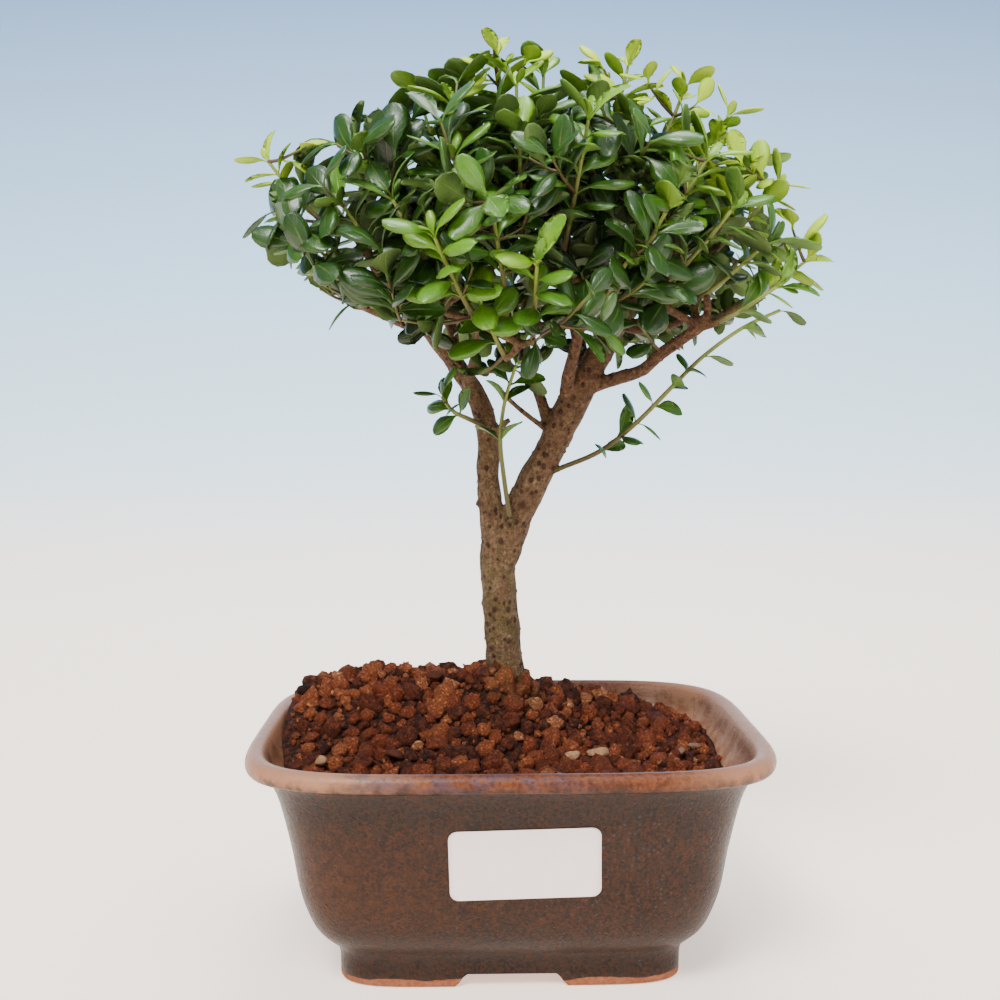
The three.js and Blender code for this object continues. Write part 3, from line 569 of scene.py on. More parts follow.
def make_label():
    corner = LABEL["corner"]
    half_height = LABEL["height"] / 2
    arc = corner * (1 - np.cos(np.linspace(0, math.pi / 2, LABEL_STEPS["corner"])))
    straight = np.linspace(-half_height + corner, half_height - corner, LABEL_STEPS["up"])
    rows = np.unique(np.concatenate([arc - half_height, straight, half_height - arc]).round(4))
    columns = np.linspace(-1, 1, LABEL_STEPS["across"])
    points = []
    for lift in (LABEL["gap"], LABEL["gap"] + LABEL["thickness"]):
        for row in rows:
            past = max(0.0, abs(row) - (half_height - corner))
            half = LABEL["width"] / 2 - corner + math.sqrt(max(corner**2 - past**2, 0.0))
            for column in columns * half:
                x = LABEL["x"] + column * math.cos(LABEL["turn"]) - row * math.sin(LABEL["turn"])
                z = LABEL["z"] + column * math.sin(LABEL["turn"]) + row * math.cos(LABEL["turn"])
                points.append((x, front_wall(x, z) - lift, z))
    faces = []
    wide, high = len(columns), len(rows)
    sheet = wide * high
    for row in range(high - 1):
        for column in range(wide - 1):
            a = row * wide + column
            faces.append((a, a + wide, a + wide + 1, a + 1))
            faces.append((a + sheet, a + 1 + sheet, a + wide + 1 + sheet, a + wide + sheet))
    border = [*range(wide), *range(2 * wide - 1, sheet, wide)]
    border += [*range(sheet - 2, sheet - wide - 1, -1), *range(sheet - 2 * wide, 0, -wide)]
    for a, b in zip(border, border[1:] + border[:1]):
        faces.append((a, b, b + sheet, a + sheet))
    return make_object("paper_label", make_mesh("label", in_frame(points), faces))


def label_material():
    material, place = new_material("label paper")
    fibre = blotches(place, 0.5, 0.3, 0.7)
    paper = blend(blotches(place, 9, 0.3), colour(252, 240, 238), colour(248, 235, 232))
    paper = blend(fibre * 0.2, paper, colour(238, 226, 223))
    inputs = {"Base Color": paper, "Roughness": band(fibre, 0, 1, 0.42, 0.52)}
    return finish(material, inputs, fibre, 0.00002, 0.5)


label = make_label()
dress(label, label_material())
hand_over(label, "label", "label")

# %% [markdown]
# The drain screens
#
# Two squares of black plastic mesh lie over the drain holes. Their solids already have the right shape,
# so they only get a finish: moulded plastic, slightly dusty with clay.


# %% Drain screens
def screen_material():
    material, place = new_material("screen plastic")
    dust = blotches(place, 3, 0.2)
    shade = blend(dust * 0.4, colour(36, 36, 37), colour(96, 66, 50))
    inputs = {"Base Color": shade, "Roughness": band(dust, 0, 1, 0.45, 0.75)}
    return finish(material, inputs, blotches(place, 0.4, 0.2), 0.00003, 0.6)


screen_plastic = screen_material()
for name in ("screen_1", "screen_2"):
    dress(frame["nodes"][name], screen_plastic)

# %% [markdown]
# The soil bed
#
# The soil lies low along the front wall. It is heaped high left of the trunk, lower behind it and to its
# right, and against its bark. A bed with that shape fills the pot, and loose grains lie on it. The bed is
# again a loft of the pot's outlines. Its edge is the line where soil and wall meet. Both slope there, so
# the line is found by trying the height a few times. Inside it, the outlines are drawn in to the middle.

# %% Soil bed
SOIL_EDGE = 52.2
# Heaps: x, y, height, spread along x and y, and a power that makes them flatter on top along x
HEAPS = [(-30, 20, 22, 44, 27, 4), (27, 32, 12, 19, 19, 2), (53, 20, 4.2, 14, 24, 2)]
HEAPS += [(0, 7, 9.5, 12, 12, 2)]
BED_SHARES = np.linspace(1, 0.02, 28)
BED_AROUND = 120
BED_GAP = 0.4  # between the bed and the wall below the soil's edge
BED_ROUGH = {"size": 5, "height": 0.9, "drop": 0.4}


def soil_height(x, y):
    """The level along the walls, and the heaps on it."""
    height = SOIL_EDGE
    for middle_x, middle_y, lift, spread_x, spread_y, power in HEAPS:
        fall = np.abs((x - middle_x) / spread_x) ** power + ((y - middle_y) / spread_y) ** 2
        height = height + lift * np.exp(-fall)
    return height


def soil_line():
    """The line where the soil meets the inner wall."""
    wall = np.array(INNER_WALL[::-1])
    angles = np.arange(BED_AROUND) * math.tau / BED_AROUND
    ring = outline(63, 55, BED_AROUND)
    for _ in range(6):
        heights = soil_height(ring[:, 0], ring[:, 1])
        radius = outline_radius(np.interp(heights, wall[:, 1], wall[:, 0]) - 0.2, heights, angles)
        ring = np.stack([radius * np.cos(angles), radius * np.sin(angles), heights], 1)
    return ring


def make_bed():
    rings = [outline(POT_FLOOR[0] - BED_GAP, POT_FLOOR[1] + 0.3, BED_AROUND)]
    rings += [outline(half_width - BED_GAP, z, BED_AROUND) for half_width, z in reversed(INNER_WALL[3:])]
    edge = soil_line()
    for share in BED_SHARES:
        ring = edge * (share, share, 1)
        for point in ring:
            rough = noise.fractal(Vector(point) / BED_ROUGH["size"], 1.0, 2.0, 3) * BED_ROUGH["height"]
            point[2] = soil_height(point[0], point[1]) + rough - BED_ROUGH["drop"]
        rings.append(ring)
    return make_mesh("bed", in_frame(np.vstack(rings)), loft_faces(len(rings), BED_AROUND))


bed = make_object("soil_bed", make_bed())
print("top of the bed, mm:", round(max(v.co.z for v in bed.data.vertices) / MM, 1))

# %% [markdown]
# The grains
#
# Each grain is a crumb of baked clay, 2 to 6 mm across, lumpy and dull. A handful of crumbs is modelled
# as rounded balls pushed in and out by noise. Geometry Nodes then scatter them over the bed: the points
# keep a least distance, as grains that cannot share a place, and each picks a crumb, a turn and a size.
# Two passes, large over small, close the holes that one size would leave.


# %% Geometry Nodes helpers
def new_tree(name, inputs):
    """A geometry tree with named inputs, for a mesh that it turns into another."""
    return new_group(name, "GeometryNodeTree", {"Geometry": "Geometry"} | inputs, "Geometry", "Geometry")


def end_tree(tree, shapes, material, result):
    """Ends a tree: copies become a real mesh, which takes its material."""
    real = add(tree, "GeometryNodeRealizeInstances", {"Geometry": shapes})
    dressed = add(tree, "GeometryNodeSetMaterial", {"Geometry": real, "Material": material})
    fill(result, {"Geometry": dressed})
    return tree


def run_tree(piece, tree, values):
    """Adds the tree as a modifier, sets its inputs by their identifiers and settles the piece."""
    modifier = piece.modifiers.new(tree.name, "NODES")
    modifier.node_group = tree
    for item in tree.interface.items_tree:
        if item.in_out == "INPUT" and item.name in values:
            modifier[item.identifier] = values[item.name]
    return settle(piece)


def named(tree, name, kind):
    return add(tree, "GeometryNodeInputNamedAttribute", {"Name": name}, data_type=kind)


def chance(tree, kind, output, inputs):
    """A random value for each point."""
    return add(tree, "FunctionNodeRandomValue", inputs, output, data_type=kind)


def from_collection(tree, collection):
    """The shapes in a collection, for a tree to pick from."""
    inputs = {"Collection": collection, "Separate Children": True, "Reset Children": True}
    return add(tree, "GeometryNodeCollectionInfo", inputs)


def shape_collection(name, meshes):
    collection = bpy.data.collections.new(name)
    bpy.context.scene.collection.children.link(collection)
    for i, mesh in enumerate(meshes):
        collection.objects.link(bpy.data.objects.new(f"{name} {i:02d}", mesh))
    return collection


def drop_collection(collection):
    for shape in list(collection.objects):
        bpy.data.objects.remove(shape)
    bpy.data.collections.remove(collection)


# %% Scattering tree
STEEPEST = 0.35  # the least upward share of a face's normal on which grains lie


def scatter_tree():
    inputs = {"Shapes": "Collection", "Material": "Material", "Least Distance": 0.003, "Least Size": 0.001}
    inputs |= {"Most Size": 0.003, "Sink": 0.0, "Reach": 1.0, "Seed": 1}
    tree, given, result = new_tree("Scatter grains", inputs)
    up = part(add(tree, "GeometryNodeInputNormal", {}), 2)
    chosen = (up > STEEPEST) * (named(tree, "share", "FLOAT") < given["Reach"])
    sockets = {"Mesh": given["Geometry"], "Selection": chosen, "Distance Min": given["Least Distance"]}
    sockets |= {"Density Max": 3e5, "Seed": given["Seed"]}
    points = add(tree, "GeometryNodeDistributePointsOnFaces", sockets, distribute_method="POISSON")
    sockets = {"Geometry": points, "Name": "tone", "Value": chance(tree, "FLOAT", 1, {})}
    points = add(tree, "GeometryNodeStoreNamedAttribute", sockets, data_type="FLOAT", domain="POINT")
    down = add(tree, "ShaderNodeCombineXYZ", {2: given["Sink"] * -1.0})
    points = add(tree, "GeometryNodeSetPosition", {"Geometry": points, "Offset": down})
    turn = chance(tree, "FLOAT_VECTOR", 0, {"Max": (math.tau, math.tau, math.tau), "Seed": given["Seed"]})
    share = chance(tree, "FLOAT", 1, {"Seed": given["Seed"] + 7}) ** 1.6  # small grains are more common
    size = given["Least Size"] + (given["Most Size"] - given["Least Size"]) * share
    sockets = {"Points": points, "Instance": from_collection(tree, given["Shapes"]), "Pick Instance": True}
    sockets |= {"Instance Index": chance(tree, "INT", 2, {5: 999}), "Scale": size}
    sockets["Rotation"] = add(tree, "FunctionNodeEulerToRotation", {0: turn})
    grains = add(tree, "GeometryNodeInstanceOnPoints", sockets)
    return end_tree(tree, grains, given["Material"], result)


# %% Crumbs
def ball(rings, around):
    """Points and faces of a unit ball with few faces."""
    points = [(0.0, 0.0, -1.0)]
    for ring in range(1, rings):
        tilt = math.pi * ring / rings
        for i in range(around):
            angle = math.tau * (i + ring / 2) / around
            out = math.sin(tilt)
            points.append((out * math.cos(angle), out * math.sin(angle), -math.cos(tilt)))
    points.append((0.0, 0.0, 1.0))
    faces = []
    top = len(points) - 1
    for i in range(around):
        after = (i + 1) % around
        faces.append((0, 1 + after, 1 + i))
        for ring in range(rings - 2):
            low = 1 + ring * around
            faces.append((low + i, low + after, low + around + after, low + around + i))
        faces.append((top - around + i, top - around + after, top))
    return np.array(points), faces


BREAKS = {"count": 6, "least": 0.5, "most": 0.8, "flatness": 0.92}
noise.seed_set(1)  # noise_vector would otherwise start from the clock


def crumb(seed, rings, around, lumps=0.5):
    """A lumpy grain of about unit radius with a few flat breaks."""
    points, faces = ball(rings, around)
    shift = Vector((seed * 3.7, seed * 1.3, 0))
    stretch = 1 + 0.3 * np.array(noise.noise_vector(shift + Vector((0.5, 0.5, 0.5))))
    draw = seeded(seed)
    shaped = points.copy()
    for i, point in enumerate(points):
        push = noise.fractal(Vector(point) * 1.8 + shift, 0.6, 2.3, 3)
        shaped[i] = point * (1 + lumps * push) * stretch
    for _ in range(BREAKS["count"]):
        facing = unit(np.array([draw() - 0.5, draw() - 0.5, draw() - 0.5]))
        over = np.maximum(shaped @ facing - mix(BREAKS["least"], BREAKS["most"], draw()), 0)
        shaped -= over[:, None] * facing * BREAKS["flatness"]
    return make_mesh(f"crumb {seed}", shaped, faces)


def clay_material():
    material, place = new_material("baked clay grains")
    stops = [(0.0, colour(42, 19, 13)), (0.25, colour(96, 43, 25)), (0.65, colour(148, 71, 39))]
    stops += [(0.92, colour(182, 101, 60)), (1.0, colour(208, 138, 94))]
    fine = blotches(place, 0.8, 0.1, 0.75)
    trunk_foot = tuple(in_frame((3.0, 8.0, 74.0)))
    away = add(place.tree, "ShaderNodeVectorMath", {0: place, 1: trunk_foot}, 1, operation="DISTANCE")
    moss = band(away, 0.013, 0.006) * blotches(place, 1.8, 0.06)
    body = layers(
        ramp(attribute(material, "tone"), stops),
        (fine * 0.55, colour(52, 25, 18)),
        (blotches(place, 2.0, 0.1) * 0.35, colour(150, 80, 46)),
        (moss * 0.45, colour(84, 78, 30)),
    )
    inputs = {"Base Color": body, "Roughness": 0.9, "Specular IOR Level": 0.3}
    return finish(material, inputs, fine - specks(place, 0.65, 0.15, 0.7), 0.0008)


baked_clay = clay_material()
wall_rings = len(bed.data.vertices) // BED_AROUND - len(BED_SHARES)
store(bed.data, "share", np.repeat([1.0] * wall_rings + list(BED_SHARES), BED_AROUND))
dress(bed, baked_clay)
# The bed takes the darkest clay tone: painted shade in the gaps between the grains
store(bed.data, "tone", np.zeros(len(bed.data.vertices)))
scatter = scatter_tree()
# Passes: name, rings and sides of a crumb, reach towards the wall, and sizes in millimetres
LARGE = {"Least Distance": 3.7, "Least Size": 1.8, "Most Size": 4.0, "Sink": -0.3}
SMALL = {"Least Distance": 2.3, "Least Size": 0.8, "Most Size": 1.7, "Sink": -0.5}
PASSES = [("large_grains", (7, 10), 0.94, LARGE), ("small_grains", (4, 6), 0.975, SMALL)]
soil_pieces = [bed]
for seed, (name, faces, reach, lengths) in enumerate(PASSES, 3):
    crumbs = shape_collection("crumb", [crumb(10 * seed + i, *faces) for i in range(8)])
    grains = make_object(name, bed.data)
    values = {label: length * MM for label, length in lengths.items()}
    values |= {"Shapes": crumbs, "Material": baked_clay, "Reach": reach, "Seed": seed}
    run_tree(grains, scatter, values)
    drop_collection(crumbs)
    soil_pieces.append(grains)
for piece in soil_pieces:
    hand_over(piece, "soil", "soil")

# %% [markdown]
# Odd stones
#
# A few things in the soil are not clay: pale stones, two dull brown shards and a black chip by the left
# wall. Each is one more crumb, stretched and sunk a little into the bed.

# %% Odd stones
# Stones: x, y, half length, half width, half height, tone from black to pale
STONES = [(-61, 12, 2.6, 1.7, 1.8, 0.0), (-32, -16, 3.8, 2.8, 1.5, 0.35), (17.8, -11, 2.7, 2.0, 1.7, 0.9)]
STONES += [(26.3, -6, 4.2, 2.3, 1.9, 0.85), (50, -6, 2.8, 1.3, 1.2, 0.6), (54, -3, 2.4, 1.2, 1.1, 0.55)]
STONES += [(-52.5, -18.5, 2.3, 1.6, 1.4, 0.8), (-21.7, 11, 3.2, 2.4, 1.6, 0.3)]
STONE_LIFT = 3.1


def make_stones():
    points, faces, tones = [], [], []
    for number, (x, y, *halves, tone) in enumerate(STONES):
        shape = crumb(60 + number, 8, 12, 0.25)
        turn = Matrix.Rotation(number * 1.9, 3, "Z") @ Matrix.Rotation(0.25, 3, "X")
        place = Vector((x, y, soil_height(x, y) + STONE_LIFT))
        faces += [[len(points) + index for index in face.vertices] for face in shape.polygons]
        points += [place + turn @ (vertex.co * Vector(halves)) for vertex in shape.vertices]
        tones += [tone] * len(shape.vertices)
    mesh = make_mesh("stones", in_frame(points), faces)
    store(mesh, "tone", tones)
    return make_object("odd_stones", mesh)


def stone_material():
    material, place = new_material("odd stones")
    stops = [(0.0, colour(18, 15, 15)), (0.35, colour(78, 40, 26)), (0.6, colour(138, 108, 88))]
    body = ramp(attribute(material, "tone"), stops + [(1.0, colour(204, 158, 116))])
    fine = blotches(place, 0.7, 0.15, 0.7)
    body = blend(fine * 0.35, body, colour(88, 60, 46))
    inputs = {"Base Color": body, "Roughness": band(fine, 0, 1, 0.6, 0.85), "Specular IOR Level": 0.2}
    return finish(material, inputs, fine, 0.0003, 0.8)


stones = make_stones()
dress(stones, stone_material())
hand_over(stones, "soil", "soil")

# %% [markdown]
# The plan of the tree
#
# The limbs are measured from the real tree: a list of places with the thickness there. What grows on
# them follows a rule, the same one that placed the solids, so the fine leaves stand where the solid ones
# do. Each crown shoot is known by the place that its end leaves reach. It grows away from a point deep in
# the crown and bends up to the light, and a twig joins it to the nearest wood.

# %% Limbs
LIMBS = [
    [(-0.3, 14, 66, 6.4), (-0.3, 14, 73.5, 6.2), (-0.6, 13.5, 80, 5.6), (-1.6, 12.5, 91, 5.4)]
    + [(-2.6, 12, 103, 5.3), (-2.7, 12, 113, 5.3), (-2.6, 12, 119, 4.6)],
    [(-1.6, 12, 110, 4.7), (1.2, 11.9, 118.5, 4.9), (4.4, 11, 126.6, 4.8), (8.8, 10, 135.6, 4.7)]
    + [(13.1, 9, 144.5, 4.5), (17.4, 8, 153.3, 4.8), (22, 7, 162, 4.3), (27.1, 6, 171.7, 3.8)]
    + [(31.7, 6, 181, 3.4), (37.6, 7, 189.7, 3), (42.6, 9, 198, 2.3), (44.5, 10, 209, 1.8)],
    [(-3.3, 12, 111, 4), (-4.6, 12, 122, 3.7), (-5.6, 13, 134, 3.5), (-5.6, 15, 146, 3.4)]
    + [(-7.4, 17, 155.5, 3.2), (-11.5, 18, 163, 3), (-16.9, 19, 171, 2.7), (-23, 20, 178.4, 2.5)]
    + [(-29, 21, 185, 2.2), (-36.3, 20, 192, 1.9), (-41, 14, 201, 1.6), (-47, 10, 209, 1.3)],
    [(23, 7, 161, 2.2), (30, 4, 163.5, 2), (38, 0, 166, 1.9), (43.6, -4, 171, 1.8), (53.6, -8, 178, 1.6)],
    [(33.5, 6, 183, 2), (39.5, 3, 189, 1.8), (44.4, -1, 195, 1.6), (48.5, -5, 204, 1.3)],
    [(12.3, 9, 149, 1.9), (10.4, 10.5, 157, 1.7), (6, 14, 168, 1.6), (1.3, 18, 179, 1.5)]
    + [(-1.6, 22, 192, 1.3)],
    [(17, 8, 156, 2.1), (17.6, 0, 166, 1.9), (19.5, -9, 177, 1.6), (20.6, -18, 189, 1.3)],
    [(-25.7, 20, 179, 1.8), (-34, 15, 182, 1.6), (-44, 10, 186, 1.3)],
    [(-31.6, 21, 190, 1.9), (-31.2, 18, 202, 1.6), (-31, 14, 215, 1.3)],
    [(-11.8, 17.5, 162, 1.7), (-9.4, 9, 171, 1.5), (-7.6, 0, 180, 1.3)],
    [(23, 8, 165, 2.4), (22, 17, 175, 2), (20, 26, 187, 1.7), (20, 33, 201, 1.3)],
    [(-14, 19, 167, 1.9), (-16, 28, 177, 1.6), (-17, 36, 189, 1.3)],
    [(39.5, 8.5, 193, 2), (45, 18, 198, 1.7), (50, 27, 205, 1.3)],
]
LIMBS = [np.array(limb, float) for limb in LIMBS]
BARE_POINTS = 5  # no twigs grow from the first points of the three thick limbs

# %% Shoots: x, y and z that the end leaves reach, stem length, leaf pairs, leaf length
MATURE_SHOOTS = [
    (-47, -16, 212, 27, 3, 13), (-40, -8, 226, 27, 3, 13.5), (-35, 4, 238, 28, 3, 13),
    (-26, 8, 247, 25, 2, 13.5), (-16, -12, 240, 28, 3, 14), (2, -4, 248, 28, 3, 13),
    (11, 16, 256, 27, 3, 13), (20, -34, 232, 38, 4, 14.5), (23, 2, 244, 23, 2, 14),
    (72, 12, 229, 27, 3, 13), (55, -16, 225, 27, 3, 13.5), (62, -18, 211, 26, 3, 13),
    (74, -10, 203, 22, 2, 14.5), (76, -15, 190, 17, 2, 12.5), (-6, -38, 210, 28, 3, 14),
    (-21, -42, 200, 27, 3, 13.5), (6, -42, 193, 26, 3, 13.5), (43, -24, 210, 27, 3, 14),
    (-57, 2, 203, 22, 2, 12.5), (-64, 10, 213, 24, 3, 12), (-33, -24, 213, 28, 3, 14),
    (-16, -27, 223, 27, 3, 14.5), (36, -12, 233, 28, 3, 14), (2, -24, 229, 28, 3, 14),
    (59, 8, 199, 22, 2, 13), (-52, 2, 195, 15, 2, 12), (-9, -29, 184, 20, 2, 13),
    (32, -27, 196, 20, 2, 13), (46, 10, 234, 24, 2, 13.5), (-55, 30, 221, 27, 3, 13),
    (-36, 46, 207, 27, 3, 13), (-38, 27, 238, 27, 3, 13.5), (-18, 50, 224, 27, 3, 14),
    (-18, 28, 247, 27, 3, 13.5), (-2, 42, 238, 27, 3, 13), (2, 60, 212, 27, 3, 14),
    (24, 36, 249, 27, 3, 13.5), (20, 56, 230, 27, 3, 13), (28, 64, 207, 26, 3, 14),
    (44, 46, 232, 27, 3, 13.5), (50, 59, 205, 26, 3, 13), (60, 30, 235, 27, 3, 13.5),
    (69, 42, 213, 26, 3, 13), (79, 22, 208, 24, 3, 13),
]  # fmt: skip
YOUNG_SHOOTS = [
    (-69, -2, 226, 22, 3, 10), (-3, 8, 259, 22, 3, 10.5), (35, 5, 255, 22, 3, 11),
    (51, 0, 248, 22, 3, 9.5), (63, -2, 239, 22, 3, 10), (78, -2, 220, 22, 3, 10.5),
    (86, -4, 198, 20, 3, 10),
]  # fmt: skip
LOW_SHOOTS = [
    {
        "name": "long_shoot",
        "leaf": 8.5,
        "spots": [1, 2, 3, 4, 5, 6],
        "root": (9.2, 9.9, 136.2),
        "points": [(16, 6, 138), (26.3, -2, 143), (36, -6, 151), (45, -9, 160.5), (54, -10, 169.5)]
        + [(65, -10, 177.5), (76, -8, 182.6)],
    },
    {
        "name": "low_left_shoot",
        "leaf": 9,
        "spots": [2, 3],
        "root": (-6, 15.5, 149),
        "points": [(-8.6, 10.6, 151), (-12, 7, 152.5), (-16, 4, 154.5), (-19, 2, 158.5)],
    },
    {
        "name": "fork_shoot",
        "leaf": 9,
        "spots": [2, 3, 4],
        "root": (1.4, 10.5, 119.5),
        "points": [(0.4, 4.6, 125), (-1, 3, 134), (-2.2, 2, 146), (-1, 1, 157), (2, -1, 167)],
    },
]

# %% The rule for shoots and twigs
CROWN_FOCUS = np.array([6.0, 6.0, 166.0])
UPWARD_PULL = 0.25
END_REACH = 0.25
SHOOT_SAG = 0.07
FIRST_PAIR = 0.3
SHOOT_RADIUS = (0.8, 0.5)
TWIG_RADIUS = (1.3, 0.95)
TWIG_STEP = 13
TWIG_LEAST = 5
TWIG_CLIMB = {"rise": 5, "cost": 1.2}
TWIG_LEAD = 0.45
STEM_GAP = 0.65


def curve_point(start, handle, end, share):
    rest = 1 - share
    return rest * rest * start + 2 * rest * share * handle + share * share * end


def crown_shoot(row, index, kind):
    x, y, z, length, pairs, leaf = row
    tip = np.array([x, y, z], float)
    away = tip - CROWN_FOCUS
    grow = unit(away + (0, 0, UPWARD_PULL * np.linalg.norm(away)))
    tip = tip - grow * END_REACH * leaf
    base = tip - grow * length
    handle = (base + tip) / 2 - (0, 0, SHOOT_SAG * length)
    shares = [mix(FIRST_PAIR, 1, pair / (pairs - 1)) for pair in range(pairs)]
    points = [base] + [curve_point(base, handle, tip, share) for share in shares]
    return {
        "name": f"{kind}_shoot_{index + 1}",
        "kind": kind,
        "points": np.array(points),
        "spots": list(range(1, pairs + 1)),
        "leaf": leaf,
        "root": None,
    }


def low_shoot(row):
    points = np.array(row["points"], float)
    return {**row, "kind": "low", "points": points, "root": np.array(row["root"], float)}


def grow_twigs(shoots):
    """A twig to each shoot, from the limb or earlier twig that costs least to reach."""
    joints = []
    for index, limb in enumerate(LIMBS):
        joints += list(limb[BARE_POINTS if index < 3 else 1 :, :3])
    twigs = []
    for shoot in shoots:
        base = shoot["points"][0]
        grow = unit(shoot["points"][1] - base)
        start = shoot["root"]
        least = math.inf
        for joint in joints if start is None else []:
            distance = np.linalg.norm(joint - base)
            cost = distance + TWIG_CLIMB["cost"] * max(0, joint[2] + TWIG_CLIMB["rise"] - base[2])
            if distance > TWIG_LEAST and cost < least:
                start = joint
                least = cost
        length = np.linalg.norm(start - base)
        end = base - grow * STEM_GAP
        handle = end - grow * TWIG_LEAD * length
        steps = max(2, math.ceil(length / TWIG_STEP))
        points = [curve_point(start, handle, end, step / steps) for step in range(steps + 1)]
        radii = [mix(*TWIG_RADIUS, step / steps) for step in range(steps + 1)]
        twigs.append(np.column_stack([points, radii]))
        joints += points[1:-1]
    return twigs


shoots = [crown_shoot(row, i, "mature") for i, row in enumerate(MATURE_SHOOTS)]
shoots += [crown_shoot(row, i, "young") for i, row in enumerate(YOUNG_SHOOTS)]
shoots += [low_shoot(row) for row in LOW_SHOOTS]
twigs = grow_twigs(shoots)
print("shoots:", len(shoots), "twigs:", len(twigs))

# %% [markdown]
# Where the leaves stand
#
# On this tree the leaves stand in pairs, each pair turned a quarter from the last. A leaf first tries its
# regular place. If it would cross a twig or another leaf, it bends aside a little, as a real one does when
# it unfolds, and if no place is free it is left out. A short list of sample points on each blade is
# enough to test this.

# %% The rule for leaves
LEAF = {"width": 0.62, "root": 0.45, "curl": 0.42, "droop": 1.35, "fold": 0.24}
LEAF_STATIONS = [(0.38, 0.43), (0.78, 0.43)]
SIDE_TILT = 0.55
LEAF_SPREAD = {"turn": 0.5, "tilt": 0.35}
# How leaves stand on a shoot: an added turn, the end pair's tilt and size, the range of sizes, and the
# first rank (it grows towards the end, where the leaves are youngest)
REGULAR = {"offset": 0.0, "end_tilt": 0.8, "end_size": 0.9, "sizes": (1, 1.2), "rank": 1}
SKYWARD = 0.15
DODGES = [0, 0.35, -0.35, 0.7, -0.7]
LIFTS = [0, 0.3, -0.3]
SAMPLE_SHARES = [0.22, 0.36, 0.5, 0.64, 0.78, 0.9, 1]
SAMPLE_SIDES = [-1, -0.5, 0, 0.5, 1]
MIDDLE_SAMPLE = 17
FAR_APART = {"leaf": 20, "stem": 30}
CLEARANCE = {"leaf": 2.1, "own": 1.5, "twig": 1.9}


def tangent_at(points, i):
    return unit(points[min(i + 1, len(points) - 1)] - points[max(i - 1, 0)])


def side_axes(points, tangent):
    run = unit(points[-1] - points[0])
    keep = np.array([0.0, 1.0, 0.0]) if abs(run[1]) < 0.8 else np.array([1.0, 0.0, 0.0])
    first = unit(np.cross(keep, tangent))
    return first, np.cross(tangent, first)


def leaf_frame(shoot, spot, turn, tilt, size):
    """The blade's own directions; shoots that only the scene has also turn their leaves outward."""
    tangent = tangent_at(shoot["points"], spot)
    first, second = side_axes(shoot["points"], tangent)
    out = first * math.cos(turn) + second * math.sin(turn)
    along = out * math.cos(tilt) + tangent * math.sin(tilt)
    face = tangent + (0, 0, SKYWARD) + shoot.get("outward", 0)
    face = unit(face - along * face.dot(along))
    across = np.cross(face, along)
    return {"root": shoot["points"][spot], "along": along, "across": across, "face": face, "length": size}


def half_width_at(length, share):
    (low_share, low_width), (high_share, high_width) = LEAF_STATIONS
    full = LEAF["width"] * length
    if share < low_share:
        return mix(LEAF["root"], full * low_width, share / low_share)
    if share < high_share:
        return full * mix(low_width, high_width, (share - low_share) / (high_share - low_share))
    return full * mix(high_width, 0, (share - high_share) / (1 - high_share))


def leaf_samples(leaf):
    samples = []
    for share in SAMPLE_SHARES:
        half = half_width_at(leaf["length"], share)
        arch = LEAF["curl"] * leaf["length"] * (share - LEAF["droop"] * share * share)
        for side in SAMPLE_SIDES:
            rise = arch - LEAF["fold"] * abs(side) * half
            spine = leaf["root"] + leaf["along"] * share * leaf["length"]
            samples.append(spine + leaf["across"] * side * half + leaf["face"] * rise)
    return np.array(samples)


class Crowd:
    """What a new leaf must keep clear of: every stem, and the leaves placed before it."""

    def __init__(self, stems):
        parts = [self.along(path, owner) for path, owner in stems]
        self.points = np.vstack([part[:, :3] for part in parts])
        self.radii = np.concatenate([part[:, 3] for part in parts])
        self.owners = np.concatenate([part[:, 4] for part in parts])
        self.blades = np.zeros((0, len(SAMPLE_SHARES) * len(SAMPLE_SIDES), 3))
        self.blade_owners = np.zeros(0)

    @staticmethod
    def along(path, owner):
        rows = []
        for start, end in zip(path, path[1:]):
            steps = math.ceil(np.linalg.norm((end - start)[:3]))
            for step in range(steps + 1):
                rows.append([*mix(start, end, step / steps), owner])
        return np.array(rows)

    def has_room(self, samples, owner, clearance):
        middle = samples[MIDDLE_SAMPLE]
        near = np.linalg.norm(self.points - middle, axis=1) < FAR_APART["stem"]
        near &= self.owners != owner
        gaps = np.linalg.norm(samples[:, None] - self.points[near][None], axis=2)
        if (gaps < self.radii[near] + clearance["twig"]).any():
            return False
        close = np.linalg.norm(self.blades[:, MIDDLE_SAMPLE] - middle, axis=1) <= FAR_APART["leaf"]
        for blade, other in zip(self.blades[close], self.blade_owners[close]):
            reach = clearance["own"] if other == owner else clearance["leaf"]
            if (np.linalg.norm(samples[:, None] - blade[None], axis=2) < reach).any():
                return False
        return True

    def put(self, samples, owner):
        self.blades = np.concatenate([self.blades, samples[None]])
        self.blade_owners = np.append(self.blade_owners, owner)


def find_place(crowd, shoot, owner, spot, turn, tilt, size, clearance):
    """The first free place for a leaf among its regular one and the bent ones, or None."""
    allowed = shoot.get("allowed", lambda samples: True)
    for lift in LIFTS:
        for dodge in DODGES:
            leaf = leaf_frame(shoot, spot, turn + dodge, tilt + lift, size)
            samples = leaf_samples(leaf)
            if allowed(samples) and crowd.has_room(samples, owner, clearance):
                crowd.put(samples, owner)
                return leaf
    return None


